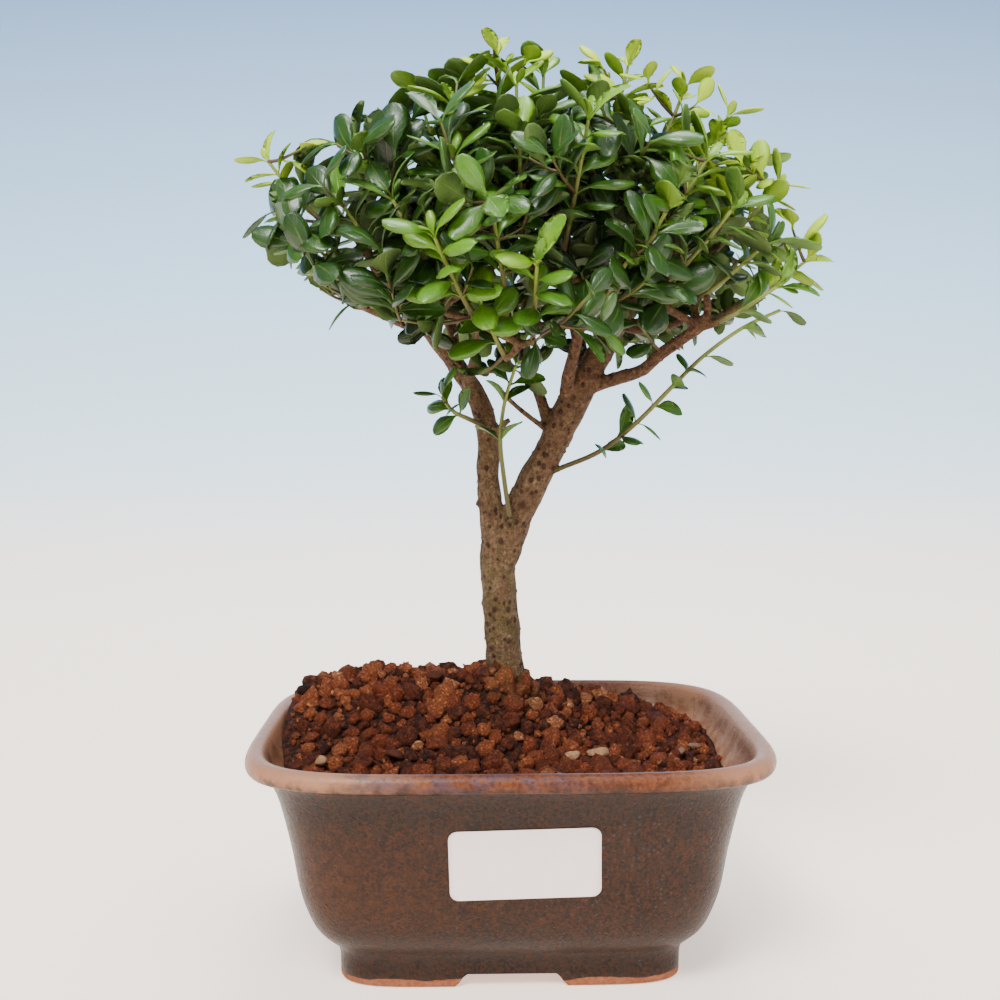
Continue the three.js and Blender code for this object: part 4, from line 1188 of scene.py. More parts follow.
def leaf_up(crowd, shoot, owner, draw, clearance, habit=REGULAR):
    """Puts the pairs of leaves on a shoot."""
    if "turn" not in shoot:
        shoot["turn"] = draw() * math.pi
    shoot["leaves"] = []
    for pair, spot in enumerate(shoot["spots"]):
        is_end = spot == len(shoot["points"]) - 1
        for side in (pair % 2, pair % 2 + 2):
            turn = shoot["turn"] + side * math.pi / 2 + habit["offset"]
            turn += (draw() - 0.5) * LEAF_SPREAD["turn"]
            tilt = (habit["end_tilt"] if is_end else SIDE_TILT) + (draw() - 0.5) * LEAF_SPREAD["tilt"]
            size = shoot["leaf"] * (habit["end_size"] if is_end else 1) * mix(*habit["sizes"], draw())
            leaf = find_place(crowd, shoot, owner, spot, turn, tilt, size, clearance)
            if leaf:
                leaf["rank"] = 1.0 if is_end else (pair + habit["rank"]) / len(shoot["spots"])
                shoot["leaves"].append(leaf)


def shoot_path(shoot):
    points = shoot["points"]
    radii = [mix(*SHOOT_RADIUS, i / (len(points) - 1)) for i in range(len(points))]
    return np.column_stack([points, radii])


stems = [(limb, -1) for limb in LIMBS] + [(twig, -1) for twig in twigs]
stems += [(shoot_path(shoot), owner) for owner, shoot in enumerate(shoots)]
crowd = Crowd(stems)
for owner, shoot in enumerate(shoots):
    leaf_up(crowd, shoot, owner, seeded(owner + 11), CLEARANCE)
print("leaves that stand over the solid ones:", sum(len(shoot["leaves"]) for shoot in shoots))

# %% [markdown]
# More leaves
#
# A real crown is denser than solids with safe gaps between them can be. Three kinds of leaves fill it, all
# by the same rule with smaller gaps. Each shoot gets pairs between its regular ones and small leaves round
# its bud. Then short side shoots reach for free places in the outer part of the crown. The crown's outline
# is a rounded double cone that no added leaf may cross, and under a level that rises to both sides it
# stays open, so that the limbs and twigs show.

# %% More leaves on the same shoots
CLOSE_CLEARANCE = {"leaf": 0.5, "own": 0.4, "twig": 0.2}
BETWEEN = {"offset": 0.8, "end_tilt": 1.15, "end_size": 0.5, "sizes": (0.85, 1.1), "rank": 0}
CROWN_MIDDLE = np.array([8.0, 8.0, 200.0])
CROWN_REACH = np.array([90.0, 68.0, 64.0])
CROWN_POWER = 1.6
CROWN_EDGE = 0.96
CROWN_FLOOR = {"x": 5.0, "level": 152.0, "left": 0.62, "right": 0.42}
OUTWARD = {"up": 0.3, "between": 0.7, "side": 0.6}
LOW_LEAF = 1.2
LOW_OUTWARD = np.array([0.0, -0.8, 0.2])
LOW_PAIRS = {"long_shoot": [3, 5, 7], "low_left_shoot": [3, 5, 6], "fork_shoot": [7]}


def crown_share(places):
    """How far out places are: 0 in the crown's middle, 1 on its outline."""
    away = np.abs((places - CROWN_MIDDLE) / CROWN_REACH)
    return (away**CROWN_POWER).sum(axis=-1) ** (1 / CROWN_POWER)


def outward_from(place, share):
    """A push for a leaf's face, away from the crown's middle and a little up."""
    away = (place - CROWN_MIDDLE) / CROWN_REACH
    return unit(away + (0, 0, OUTWARD["up"])) * share


def in_crown(samples):
    """Whether a leaf stays within the crown's outline and above its open underside."""
    past = samples[:, 0] - CROWN_FLOOR["x"]
    slope = np.where(past < 0, CROWN_FLOOR["left"], CROWN_FLOOR["right"])
    level = CROWN_FLOOR["level"] + slope * np.abs(past)
    return bool((crown_share(samples) < CROWN_EDGE).all() and (samples[:, 2] > level).all())


def between_pairs(shoot):
    """The same stem, with places between the regular pairs and at the bud."""
    points = [shoot["points"][0]]
    for start, end in zip(shoot["points"], shoot["points"][1:]):
        points += [(start + end) / 2, end]
    more = {**shoot, "points": np.array(points)}
    more["spots"] = [*range(3, len(points), 2), len(points) - 1]
    more["outward"] = outward_from(shoot["points"][-1], OUTWARD["between"])
    if shoot["kind"] == "low":
        more["spots"] = LOW_PAIRS[shoot["name"]]
        more["leaf"] = shoot["leaf"] * LOW_LEAF
        more["outward"] = LOW_OUTWARD
    if shoot["kind"] == "mature":
        more["allowed"] = in_crown
    return more


fuller = [between_pairs(shoot) for shoot in shoots]
for owner, shoot in enumerate(fuller):
    leaf_up(crowd, shoot, owner, seeded(owner + 811), CLOSE_CLEARANCE, BETWEEN)
print("leaves between the pairs:", sum(len(shoot["leaves"]) for shoot in fuller))

# %% Side shoots
SIDE_CLEARANCE = {"leaf": 0.7, "own": 0.5, "twig": 0.5}
PLACES_TRIED = 300
PLACE_DEPTH = (0.35, 0.88)  # how far out in the crown the places lie
LOWEST = -0.6  # of -1 to 1, so that no place is picked right underneath
SIDE_LENGTH = (6, 21)
THREE_PAIRS = 11  # from this length on a side shoot has three pairs of leaves
SIDE_SAG = 0.12
SIDE_CLIMB = {"rise": 3, "cost": 1.5}
LEAF_LENGTHS = {"side": (11.5, 15), "young": (8, 10.5)}
LOW_LEVEL = 185.0  # below it the shoots get little light, and their leaves stay small
LOW_SIZE = 0.75


def crown_place(draw):
    """A random place in the outer part of the crown, anywhere but underneath."""
    turn = math.tau * draw()
    up = mix(LOWEST, 1, draw())
    flat = math.sqrt(1 - up * up)
    facing = np.array([flat * math.cos(turn), flat * math.sin(turn), up])
    place = CROWN_MIDDLE + CROWN_REACH * facing
    return mix(CROWN_MIDDLE, place, mix(*PLACE_DEPTH, draw()) / crown_share(place))


def side_shoot(tip, wood, draw, kind):
    """A short shoot that curves up to a place from the nearest stem below it, or None if none is near."""
    away = tip - wood
    climb = np.maximum(SIDE_CLIMB["rise"] - away[:, 2], 0)
    cost = np.linalg.norm(away, axis=1) + SIDE_CLIMB["cost"] * climb
    root = wood[cost.argmin()]
    length = np.linalg.norm(tip - root)
    if not SIDE_LENGTH[0] < length < SIDE_LENGTH[1]:
        return None
    handle = (root + tip) / 2 - (0, 0, SIDE_SAG * length)
    pairs = 2 if length < THREE_PAIRS else 3
    shares = [0, *np.linspace(0.4, 1, pairs)]
    shoot = {"kind": kind}
    shoot["points"] = np.array([curve_point(root, handle, tip, share) for share in shares])
    shoot["spots"] = list(range(1, pairs + 1))
    shoot["leaf"] = mix(*LEAF_LENGTHS[kind], draw())
    if tip[2] < LOW_LEVEL:
        shoot["leaf"] *= LOW_SIZE
    shoot["outward"] = outward_from(tip, OUTWARD["side"])
    if kind == "side":
        shoot["allowed"] = in_crown
    return shoot


# More yellow-green young shoots: the place that the leaves of each reach
YOUNG_REACH = 8.5
YOUNG_PLACES = [(88, -8, 206), (82, -10, 192), (78, -12, 200), (73, -8, 226), (67, -6, 234), (58, -6, 245)]
YOUNG_PLACES += [(70, -12, 217), (44, -4, 253), (30, 0, 259), (-66, -6, 230), (4, 2, 261)]
YOUNG_PLACES += [(90, -2, 199), (80, -6, 213), (36, -8, 247), (62, -12, 228), (-8, 2, 258)]
LEFT_PLACES = [(-66, 0, 211), (-60, -10, 201), (-54, -6, 191), (-60, 4, 222), (-50, -20, 214)]
LEFT_PLACES += [(-46, -12, 184), (-56, -16, 208), (-48, -8, 228), (-40, -18, 224), (-50, 14, 212)]
LOW_PLACES = [(-14, 6, 171), (-9, 2, 165), (5, 4, 168), (12, 2, 173), (-24, 8, 178), (25, -4, 179)]
LOW_PLACES += [(37, -8, 178), (-34, 6, 184), (-1, 0, 173), (45, 2, 184), (-20, -2, 186), (14, -6, 184)]


draw = seeded(404)
leafy = [shoot["points"] for shoot in shoots if shoot["kind"] != "low"]
bearing = [twig[1:, :3] for twig in twigs[: len(leafy)]] + leafy + [limb[2:, :3] for limb in LIMBS[3:]]
wood_points = np.vstack(bearing + [limb[7:, :3] for limb in LIMBS[1:3]])
fillers = []
tips = [np.array(place, float) for place in YOUNG_PLACES]
tips = [(place - unit(place - CROWN_MIDDLE) * YOUNG_REACH, "young") for place in tips]
tips += [(np.array(place, float), "side") for place in LEFT_PLACES + LOW_PLACES]
tips += [(crown_place(draw), "side") for _ in range(PLACES_TRIED)]
for tip, kind in tips:
    shoot = side_shoot(tip, wood_points, draw, kind)
    if shoot is None:
        continue
    owner = len(shoots) + len(fillers)
    leaf_up(crowd, shoot, owner, seeded(owner + 11), SIDE_CLEARANCE)
    if len(shoot["leaves"]) > 1:
        fillers.append(shoot)
        wood_points = np.vstack([wood_points, shoot["points"][1:]])
print("side shoots:", len(fillers), "with leaves:", sum(len(shoot["leaves"]) for shoot in fillers))

# %% [markdown]
# Wood
#
# The trunk and limbs are lists of places with a thickness. Geometry Nodes sweep a circle along smooth
# curves through them. The swept limbs only pass through each other at the forks, while on a tree the bark
# runs over from one to the next. A voxel remesh turns them into one skin, and a little smoothing fills
# the forks.


# %% Sweeping tree
def sweep_tree():
    inputs = {"Material": "Material", "Sides": 12, "Step": 0.001}
    tree, given, result = new_tree("Sweep stems", inputs)
    curve = add(tree, "GeometryNodeMeshToCurve", {"Mesh": given["Geometry"]})
    curve = add(tree, "GeometryNodeCurveSplineType", {"Curve": curve}, spline_type="CATMULL_ROM")
    sockets = {"Curve": curve, "Length": given["Step"]}
    curve = add(tree, "GeometryNodeResampleCurve", sockets, mode="LENGTH")
    circle = add(tree, "GeometryNodeCurvePrimitiveCircle", {"Resolution": given["Sides"], "Radius": 1.0})
    sockets = {"Curve": curve, "Profile Curve": circle, "Scale": named(tree, "thickness", "FLOAT")}
    stems = add(tree, "GeometryNodeCurveToMesh", sockets | {"Fill Caps": True})
    stems = add(tree, "GeometryNodeSetShadeSmooth", {"Geometry": stems})
    return end_tree(tree, stems, given["Material"], result)


def path_object(name, paths):
    """Open paths as loose edges, with the thickness and the age of the wood at each point."""
    points, thickness, edges, age = [], [], [], []
    for path in paths:
        start = len(points)
        points += list(path[:, :3])
        thickness += list(path[:, 3] * MM)
        age += list(path[:, 4])
        edges += [(i, i + 1) for i in range(start, len(points) - 1)]
    mesh = bpy.data.meshes.new(name)
    mesh.from_pydata([tuple(point) for point in in_frame(points)], edges, [])
    store(mesh, "thickness", thickness)
    store(mesh, "age", age)
    return make_object(name, mesh)


def aged(path, start, end):
    """Adds the age along a path: 0 is old wood and 1 is this year's green."""
    return np.column_stack([path, np.linspace(start, end, len(path))])


STUMP = [(-0.3, 14, 40, 4.0), (-0.3, 14, 50, 6.6), (-0.3, 14, 62, 7.0), (-0.3, 14, 70, 6.9)]
STUMP += [(-0.4, 14, 76, 6.1)]
ROOTS = [
    [(-0.5, 13, 74, 3.0), (-4.5, 11.5, 69, 2.6), (-8.5, 9.5, 66, 1.8)],
    [(0.5, 13, 74, 3.0), (4.0, 11, 69, 2.6), (8.0, 9, 65, 1.8)],
    [(0, 15, 73, 3.0), (4.5, 17, 68, 2.4), (8.0, 19, 64, 1.6)],
]
STUBS = [
    [(-4.0, 14, 147.5, 1.3), (-1.0, 12, 150.6, 1.0), (0.8, 11.5, 152.0, 0.8)],
    [(53.6, -8, 178, 1.4), (55.4, -9, 182, 1.2), (54.8, -10.5, 186.6, 1.0)],
    [(31.5, 6, 180, 1.6), (38, 3, 178, 1.4), (44, 1, 178.5, 1.2), (50, -1, 180, 1.0)],
    [(13, 8.8, 148, 1.0), (2.5, 6.5, 156, 0.8), (-4, 5, 162.5, 0.7)],
    [(-2, 7.8, 244, 0.8), (-3.4, 7.6, 254, 0.75), (-4, 7.4, 260.5, 0.7)],
]


crown_twigs, low_twigs = twigs[: -len(LOW_SHOOTS)], twigs[-len(LOW_SHOOTS) :]
# Paths with the age at their start and end
AGES = [(LIMBS[:3], 0.0, 0.3), (LIMBS[3:], 0.3, 0.45), (crown_twigs, 0.45, 0.8), (low_twigs, 0.3, 1.0)]
AGES += [([STUMP, *ROOTS], 0.0, 0.05), (STUBS, 0.3, 0.4)]
wood_paths = [aged(np.array(path, float), *age) for paths, *age in AGES for path in paths]
sweep = sweep_tree()
wood = path_object("wood_of_the_tree", wood_paths)
run_tree(wood, sweep, {"Sides": 14, "Step": 1.2 * MM})
remesh = wood.modifiers.new("one skin", "REMESH")
remesh.mode = "VOXEL"
remesh.voxel_size = 0.52 * MM
remesh.use_smooth_shade = True
soften = wood.modifiers.new("fill the forks", "SMOOTH")
soften.factor = 0.5
soften.iterations = 3
settle(wood)
print("skin of the wood:", len(wood.data.polygons), "faces")

# %% [markdown]
# Bark
#
# The bark is thin and grey-brown, with long shallow furrows, small corky warts and the scars of old
# twigs. The relief that shows at the outline is put in the mesh, along the normals. The finer furrows are
# bump. Colour follows age: beige on the trunk, red-brown on the limbs and olive on the youngest wood, so
# each point of the skin takes its age from the nearest point of the plan.

# %% Relief of the bark
LUMP = {"size": 6.0, "height": 0.5}
FURROW = {"size": 1.5, "height": 0.2, "stretch": 0.35}
WART = {"apart": 2.7, "radius": 0.7, "height": 0.36}
THICK = 5  # stems of this radius in mm and more have the full relief
BATCH = 4000
# Scars of old twigs on the front: x, z, reach and height in mm
KNOTS = [(4.3, 126.8, 1.9, 0.5), (-5.1, 123.9, 1.2, 0.35), (1.1, 109.0, 1.3, 0.4), (-3.4, 99.2, 1.1, 0.35)]
KNOTS += [(0.2, 92.0, 1.3, 0.4), (-4.0, 90.2, 1.1, 0.3), (0.4, 86.6, 1.2, 0.4), (-8.4, 127.0, 1.6, 0.7)]
KNOTS += [(-14.8, 154.8, 1.9, 0.2), (15.5, 150.4, 1.1, 0.3), (12.0, 144.5, 1.0, 0.3)]
KNOTS += [(-4.6, 84.0, 1.4, 0.5)]


def nearest_wood(places):
    """For each place, the thickness and age of the plan where its skin is nearest."""
    rows = []
    for path in wood_paths:
        for start, end in zip(path, path[1:]):
            steps = max(1, math.ceil(np.linalg.norm((end - start)[:3]) / 2))
            rows += [mix(start, end, step / steps) for step in range(steps)]
    rows = np.array(rows)
    best = np.zeros(len(places), int)
    for start in range(0, len(places), BATCH):
        batch = places[start : start + BATCH]
        squares = (batch**2).sum(1)[:, None] + (rows[:, :3] ** 2).sum(1) - 2 * batch @ rows[:, :3].T
        skins = np.sqrt(np.maximum(squares, 0)) - rows[:, 3]
        best[start : start + BATCH] = skins.argmin(axis=1)
    return rows[best, 3], rows[best, 4]


def relieve(mesh):
    """Pushes the skin in and out, less on thin stems, and stores the age of the wood and its warts."""
    places = np.array([vertex.co for vertex in mesh.vertices]) / MM - pot_middle
    radii, ages = nearest_wood(places)
    corky = np.zeros(len(places))
    normals = [vertex.normal.copy() for vertex in mesh.vertices]
    for i, (vertex, normal) in enumerate(zip(mesh.vertices, normals)):
        place = Vector(places[i])
        stretched = Vector((place.x, place.y, place.z * FURROW["stretch"]))
        lump = noise.noise(place / LUMP["size"]) * LUMP["height"]
        furrow = noise.fractal(stretched / FURROW["size"], 0.9, 2.0, 2) * FURROW["height"]
        near, _ = noise.voronoi(place / WART["apart"])
        corky[i] = smooth_step(near[0] * WART["apart"], WART["radius"], 0.15)
        share = min(radii[i] / THICK, 1) ** 0.7
        vertex.co += normal * (lump + furrow + corky[i] * WART["height"]) * share * MM
    for x, z, reach, height in KNOTS:
        away = np.hypot(places[:, 0] - x, places[:, 2] - z)
        knot = smooth_step(away, reach, 0.2 * reach) * (places[:, 1] < 14)
        corky = np.maximum(corky, knot)
        for i in np.flatnonzero(knot):
            mesh.vertices[i].co += normals[i] * float(knot[i]) * height * MM
    store(mesh, "age", ages)
    store(mesh, "corky", corky)


relieve(wood.data)


# %% Bark material
def bark_material():
    material, place = new_material("holly bark")
    across, height = part(place, 0), part(place, 2)
    broad = blotches(place, 8, 0.1)
    small = blotches(place, 1.3, 0.12, 0.75)
    furrows = blotches(scaled(place, 1, 1, 0.3), 1.0, 0.08, 0.75)
    lenticels = specks(scaled(place, 1, 1, 0.8), 2.1, 0.62, 0.6)
    green = blotches(place, 5, 0.08) * band(height, 0.125, 0.1)
    beige = layers(
        blend(small, colour(98, 75, 51), colour(138, 114, 84)),
        (broad * 0.45, colour(98, 66, 44)),
        (green * 0.45, colour(88, 84, 40)),
    )
    limb = blend(small, colour(70, 42, 28), colour(110, 74, 51))
    limb = blend(broad * 0.4, limb, colour(92, 70, 46))
    # The left limb stays beige further up than the right one
    beige_to_left = band(across, -0.003, -0.012, 0.0, 0.042)
    high = band(height - beige_to_left, 0.132, 0.176)
    foot = band(height, 0.082, 0.073) * blotches(place, 2.5, 0.1)
    bark = layers(
        beige,
        (high * 0.85, limb),
        (band(attribute(material, "age"), 0.5, 0.85), colour(92, 86, 40)),
        (furrows * 0.3, colour(62, 43, 30)),
        (attribute(material, "corky") * 0.85, colour(62, 32, 23)),
        (lenticels * 0.85, colour(58, 27, 19)),
        (specks(place, 1.1, 0.24, 0.5) * 0.7, colour(48, 28, 20)),
        (foot * 0.6, colour(58, 52, 26)),
    )
    inputs = {"Base Color": bark, "Roughness": 0.75, "Specular IOR Level": 0.35}
    return finish(material, inputs, small * 0.7 - furrows * 0.5 + lenticels * 1.7, 0.0004)


dress(wood, bark_material())
hand_over(wood, "bark", "wood")

# %% [markdown]
# Leaves
#
# A japanese holly leaf is 10 to 16 mm long, oval with a blunt tip, thick and glossy. It arches over its
# length and its margins turn down, so each one catches its own glint of light. A few shapes are modelled
# at unit length. Geometry Nodes set them on the places found above: every place has a turn, a size and a
# shape, which the tree reads as named attributes, and a tone, which the leaf's finish reads. The tone
# holds the leaf's age and painted light and shade.

# %% Leaf shapes
SIDES = (-1.0, -0.55, 0.0, 0.55, 1.0)
PETIOLE = 0.1
STALK = 0.034
STATIONS = 8
GROOVE = 0.012
LEAF_SHAPES = [
    {"width": 0.50, "widest": 0.56, "curl": 0.30, "dome": 0.30, "twist": 0.10},
    {"width": 0.55, "widest": 0.60, "curl": 0.42, "dome": 0.36, "twist": -0.12},
    {"width": 0.45, "widest": 0.54, "curl": 0.22, "dome": -0.30, "twist": 0.22},
    {"width": 0.60, "widest": 0.62, "curl": 0.36, "dome": 0.42, "twist": 0.0},
    {"width": 0.52, "widest": 0.58, "curl": 0.48, "dome": 0.28, "twist": -0.2},
    {"width": 0.53, "widest": 0.56, "curl": 0.16, "dome": -0.22, "twist": 0.05},
    {"width": 0.47, "widest": 0.60, "curl": 0.38, "dome": 0.45, "twist": 0.14},
    {"width": 0.56, "widest": 0.57, "curl": 0.26, "dome": 0.34, "twist": -0.06},
]
BLADE_THICKNESS = 0.026


def blade_half_width(shape, share):
    """Half the blade's width along it, for a leaf of length 1: a stalk, then a blunt oval."""
    if share <= PETIOLE:
        return STALK
    along = (share - PETIOLE) / (1 - PETIOLE)
    bulge = math.log(0.5) / math.log(shape["widest"])
    blunt = mix(1.0, 0.43, along)
    oval = max(0.0, math.sin(math.pi * along**bulge)) ** blunt
    return max(STALK * (1 - along), shape["width"] / 2 * oval)


def leaf_mesh(index, shape):
    steps = np.arange(STATIONS) / STATIONS * math.pi
    shares = [0.0, *mix(PETIOLE, 1, (1 - np.cos(steps)) / 2).tolist()]
    points = []
    for share in shares:
        half = blade_half_width(shape, share)
        roll = shape["twist"] * share
        arch = shape["curl"] * (share - 1.35 * share * share)
        for side in SIDES:
            across = side * half
            rise = -shape["dome"] * side * side * half - (GROOVE if side == 0 else 0)
            y = across * math.cos(roll) - rise * math.sin(roll)
            points.append((share, y, arch + across * math.sin(roll) + rise * math.cos(roll)))
        thick = BLADE_THICKNESS * (1 - 0.5 * share)
        points.append((share, 0.0, arch - thick - GROOVE))
    points.append((1.0, 0.0, shape["curl"] * -0.35))
    row, tip = len(SIDES) + 1, len(points) - 1
    faces, under, places = [], [], []
    for k in range(len(shares)):
        a, b = k * row, (k + 1) * row
        last = k == len(shares) - 1
        for j in range(4):
            faces.append((a + j, tip, a + j + 1) if last else (a + j, b + j, b + j + 1, a + j + 1))
            under.append(0.0)
        for left, right in ((4, 5), (5, 0)):
            faces.append((a + left, tip, a + right) if last else (a + left, b + left, b + right, a + right))
            under.append(1.0)
    faces.append((0, 1, 2, 3, 4, 5))
    under.append(1.0)
    for point in range(len(points)):
        k, j = divmod(point, row)
        side = 0.0 if point == tip or j == 5 else SIDES[j]
        share = 1.0 if point == tip else shares[k]
        places.append((share, 0.5 + side / 2))
    mesh = make_mesh(f"leaf {index}", points, faces)
    store(mesh, "under", under, domain="FACE")
    grid = mesh.uv_layers.new(name="blade")
    for loop in mesh.loops:
        grid.data[loop.index].uv = places[loop.vertex_index]
    return mesh


leaf_meshes = [leaf_mesh(index, shape) for index, shape in enumerate(LEAF_SHAPES)]
print("faces of a leaf:", len(leaf_meshes[0].polygons))


# %% Leaf finish
def leaf_material(name, gloss, coat):
    """Green by the leaf's tone, with a paler rib and edge, and duller underneath."""
    material, place = new_material(name)
    grid = add(material.node_tree, "ShaderNodeUVMap", {}, uv_map="blade")
    along, off_rib = part(grid, 0), abs(part(grid, 1) - 0.5)
    tone, under = attribute(material, "tone"), attribute(material, "under")
    cloudy = blotches(place, 4, 0.2)
    green = ramp(tone + (cloudy - 0.5) * 0.08 + band(along, 0.3, 0.0, 0.0, 0.14), GREENS)
    pale = blend(0.5, green, colour(176, 196, 96))
    rib = band(off_rib, 0.045, 0.008) * band(along, 0.98, 0.4)
    blade = layers(green, (rib * 0.3, pale), (band(off_rib, 0.45, 0.495) * 0.3, pale))
    blade = blend(under * 0.7, blade, blend(0.5, blade, colour(118, 144, 74)))
    inputs = {"Base Color": blade, "Roughness": gloss + under * 0.25 + cloudy * 0.08}
    inputs |= {"Coat Weight": band(under, 0.0, 1.0, coat, 0.0), "Coat Roughness": 0.18}
    veins = band(maths("SINE", (along - off_rib * 0.7) * 46.0), 0.5, 1.0)
    relief = cloudy * 0.6 - rib * 0.8 - veins * 0.15
    return finish(material, inputs | {"Specular IOR Level": 0.4}, relief, 0.00025, 0.6)


GREENS = [(0.0, colour(14, 29, 10)), (0.25, colour(38, 72, 19)), (0.5, colour(78, 124, 30))]
GREENS += [(0.75, colour(124, 168, 22)), (1.0, colour(178, 208, 30))]
holly_green = leaf_material("holly leaf", 0.36, 0.25)
fresh_green = leaf_material("young holly leaf", 0.5, 0.08)


# %% Setting the leaves
def setting_tree():
    tree, given, result = new_tree("Set leaves", {"Shapes": "Collection", "Material": "Material"})
    shapes = from_collection(tree, given["Shapes"])
    sockets = {"Points": given["Geometry"], "Instance": shapes, "Pick Instance": True}
    sockets["Instance Index"] = named(tree, "shape", "INT")
    sockets["Rotation"] = named(tree, "turn", "QUATERNION")
    sockets["Scale"] = named(tree, "size", "FLOAT_VECTOR")
    leaves = add(tree, "GeometryNodeInstanceOnPoints", sockets)
    return end_tree(tree, leaves, given["Material"], result)


def leaf_tone(shoot, leaf, draw):
    """How light a leaf is: light on young shoots and at the ends, with painted light out in the crown and
    high up and painted shade to the left.
    """
    # Painted light: leaves further out in the crown and higher up are lighter, those deeper inside darker
    light = float(np.clip((crown_share(leaf["root"]) - 0.4) / 0.55, 0, 1))
    light *= 0.8 + 0.4 * (leaf["root"][2] - CROWN_MIDDLE[2]) / CROWN_REACH[2]
    # Painted shade: leaves to the left are darker
    shade = mix(0.45, 1.0, float(np.clip((leaf["root"][0] + 70) / 60, 0, 1)))
    if shoot["kind"] == "young":
        return 0.7 + 0.2 * leaf["rank"] + 0.16 * draw()
    if shoot["kind"] == "low":
        return 0.24 + 0.2 * draw()
    if shoot["kind"] == "side":
        return shade * light * (0.3 + 0.34 * shoot["tint"]) + 0.12 * draw()
    tone = 0.1 + shade * (0.36 * light + 0.36 * shoot["tint"])
    return tone + 0.2 * leaf["rank"] * draw() + 0.1 * draw()


def leaf_piece(name, group, material, seed):
    draw = seeded(seed)
    leaves = [(shoot, leaf) for shoot in group for leaf in shoot["leaves"]]
    mesh = bpy.data.meshes.new(name)
    mesh.from_pydata([tuple(place) for place in in_frame([leaf["root"] for _, leaf in leaves])], [], [])
    turns, sizes, tones, shapes = [], [], [], []
    for shoot, leaf in leaves:
        axes = Matrix((leaf["along"], leaf["across"], leaf["face"])).transposed()
        turns.append(tuple(axes.to_quaternion()))
        length = leaf["length"] * MM
        sizes.append((length, length * mix(0.92, 1.1, draw()), length))
        tones.append(leaf_tone(shoot, leaf, draw))
        shapes.append(int(draw() * len(leaf_meshes)))
    store(mesh, "turn", turns, "QUATERNION")
    store(mesh, "size", sizes, "FLOAT_VECTOR")
    store(mesh, "tone", tones)
    store(mesh, "shape", shapes, "INT")
    piece = make_object(name, mesh)
    run_tree(piece, setting, {"Shapes": leaf_shapes, "Material": material})
    return piece


setting = setting_tree()
leaf_shapes = shape_collection("leaf", leaf_meshes)
draw = seeded(90)
for shoot, more in zip(shoots, fuller):
    shoot["tint"] = more["tint"] = draw() ** 3
for shoot in fillers:
    shoot["tint"] = draw() ** 3


def of_kind(group, *kinds):
    return [shoot for shoot in group if shoot["kind"] in kinds]


old_shoots, young_shoots = of_kind(shoots, "mature", "low"), of_kind(shoots, "young")
# Pieces: name, shoots, material, seed, slot, and whether they stand for the solid shoots
LEAF_PIECES = [
    ("mature_leaves", old_shoots, holly_green, 21, "leaf", True),
    ("young_leaves", young_shoots, fresh_green, 23, "young_leaf", True),
    ("shaded_leaves", of_kind(fillers, "side"), holly_green, 22, "leaf", False),
    ("closer_leaves", of_kind(fuller, "mature", "low"), holly_green, 24, "leaf", False),
    ("closer_young_leaves", of_kind(fuller + fillers, "young"), fresh_green, 25, "young_leaf", False),
]
for name, group, material, seed, slot, is_solid in LEAF_PIECES:
    piece = leaf_piece(name, group, material, seed)
    hand_over(piece, slot, *[shoot["name"] for shoot in group if is_solid])
drop_collection(leaf_shapes)

# %% [markdown]
# Green stems
#
# The shoots that bear the leaves are still green, thin and slightly ribbed. The tree that swept the wood
# sweeps them too, with fewer sides.


# %% Green stems
STEM_ROOT = 2.6  # how far a stem runs on inside its twig, in mm


def stem_material():
    material, place = new_material("green stem")
    fine = blotches(place, 0.8, 0.2)
    stops = [(0.0, colour(84, 58, 38)), (0.35, colour(86, 78, 38)), (1.0, colour(140, 158, 64))]
    body = blend(fine * 0.35, ramp(attribute(material, "age"), stops), colour(72, 66, 34))
    return finish(material, {"Base Color": body, "Roughness": 0.55}, fine, 0.00012, 0.7)


def rooted(path):
    """Runs a stem on backwards inside the twig that carries it, so that no gap shows between them."""
    back = path[0, :3] - unit(path[1, :3] - path[0, :3]) * STEM_ROOT
    return np.vstack([[*back, path[0, 3]], path])


stem_paths = [aged(rooted(shoot_path(shoot)), 0.1, 0.9) for shoot in shoots]
stem_paths += [aged(shoot_path(shoot) * (1, 1, 1, 0.7), 0.0, 0.5) for shoot in fillers]
stems = path_object("green_stems", stem_paths)
run_tree(stems, sweep, {"Sides": 6, "Step": 2 * MM, "Material": stem_material()})
hand_over(stems, "leaf")

# %% [markdown]
# Floor, light and camera
#
# The tree stands on a plain pale floor that runs up into a backdrop, both glowing a little as painted
# light, with a large soft light from the front and above. The camera stands a little above the middle of
# the tree and looks slightly down.


# %% Floor and backdrop
# In metres: it bends up behind the tree with this radius
FLOOR = {"front": -1.2, "back": 0.5, "bend": 0.4, "top": 1.8, "half_width": 1.6}


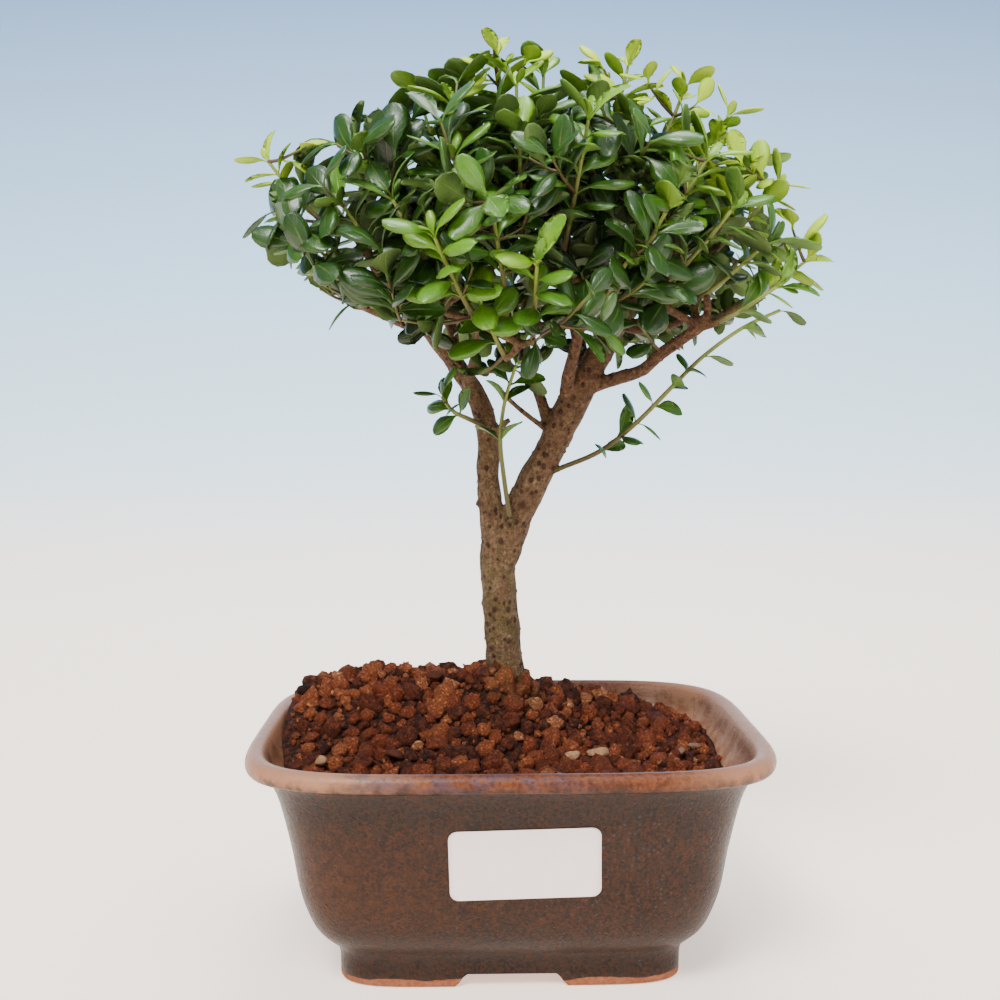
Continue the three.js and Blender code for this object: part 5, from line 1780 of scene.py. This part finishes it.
def make_floor():
    bend = [(FLOOR["front"], 0.0), (FLOOR["back"], 0.0)]
    for angle in np.radians(range(10, 91, 10)).tolist():
        y = FLOOR["back"] + FLOOR["bend"] * math.sin(angle)
        bend.append((y, FLOOR["bend"] - FLOOR["bend"] * math.cos(angle)))
    bend.append((FLOOR["back"] + FLOOR["bend"], FLOOR["top"]))
    points = [(side * FLOOR["half_width"], y, z) for y, z in bend for side in (-1, 1)]
    faces = [(2 * i, 2 * i + 1, 2 * i + 3, 2 * i + 2) for i in range(len(bend) - 1)]
    floor = make_object("floor", make_mesh("floor", points, faces))
    material, place = new_material("pale backdrop")
    height = part(place, 2)
    stops = [(0.0, colour(255, 238, 222)), (0.16, colour(192, 216, 229)), (0.42, colour(152, 187, 214))]
    stops += [(1.0, colour(72, 98, 144))]
    shade = ramp(height / 0.7, stops)
    # Painted light: the floor and backdrop glow in their own colours, more towards the back, and so also
    # light the tree
    glow = band(part(place, 1), -0.1, 0.6, 0.85, 1.25)
    inputs = {"Base Color": shade, "Roughness": 0.9, "Emission Color": shade, "Emission Strength": glow}
    dress(floor, finish(material, inputs))


def make_lamp(name, place, target, size, power):
    lamp = bpy.data.lights.new(name, "AREA")
    lamp.shape = "SQUARE"
    lamp.size = size
    lamp.energy = power
    holder = bpy.data.objects.new(name, lamp)
    holder.location = place
    holder.rotation_euler = (Vector(target) - Vector(place)).to_track_quat("-Z", "Y").to_euler()
    bpy.context.scene.collection.objects.link(holder)


make_floor()
make_lamp("key light", (-0.35, -0.75, 1.15), (0, 0, 0.14), 0.5, 27)
make_lamp("fill light", (0.9, -0.8, 0.5), (0, 0, 0.14), 0.8, 5)
make_lamp("top light", (0.1, 0.15, 1.3), (0, 0, 0.1), 0.6, 14)
world = bpy.data.worlds.new("studio")
world.use_nodes = True
fill(world.node_tree.nodes["Background"], {"Color": (1.0, 0.97, 0.94, 1.0), "Strength": 0.45})
bpy.context.scene.world = world

# %% Camera
CAMERA_PLACE = (-10.9, -341.7, 152.3)
CAMERA_HEADING = Vector((0.0249, 0.9974, -0.0684))
eye = bpy.data.cameras.new("camera")
eye.lens = 42.7
camera = bpy.data.objects.new("camera", eye)
camera.location = in_frame(CAMERA_PLACE)
camera.rotation_euler = CAMERA_HEADING.to_track_quat("-Z", "Y").to_euler()
bpy.context.scene.collection.objects.link(camera)
bpy.context.scene.camera = camera
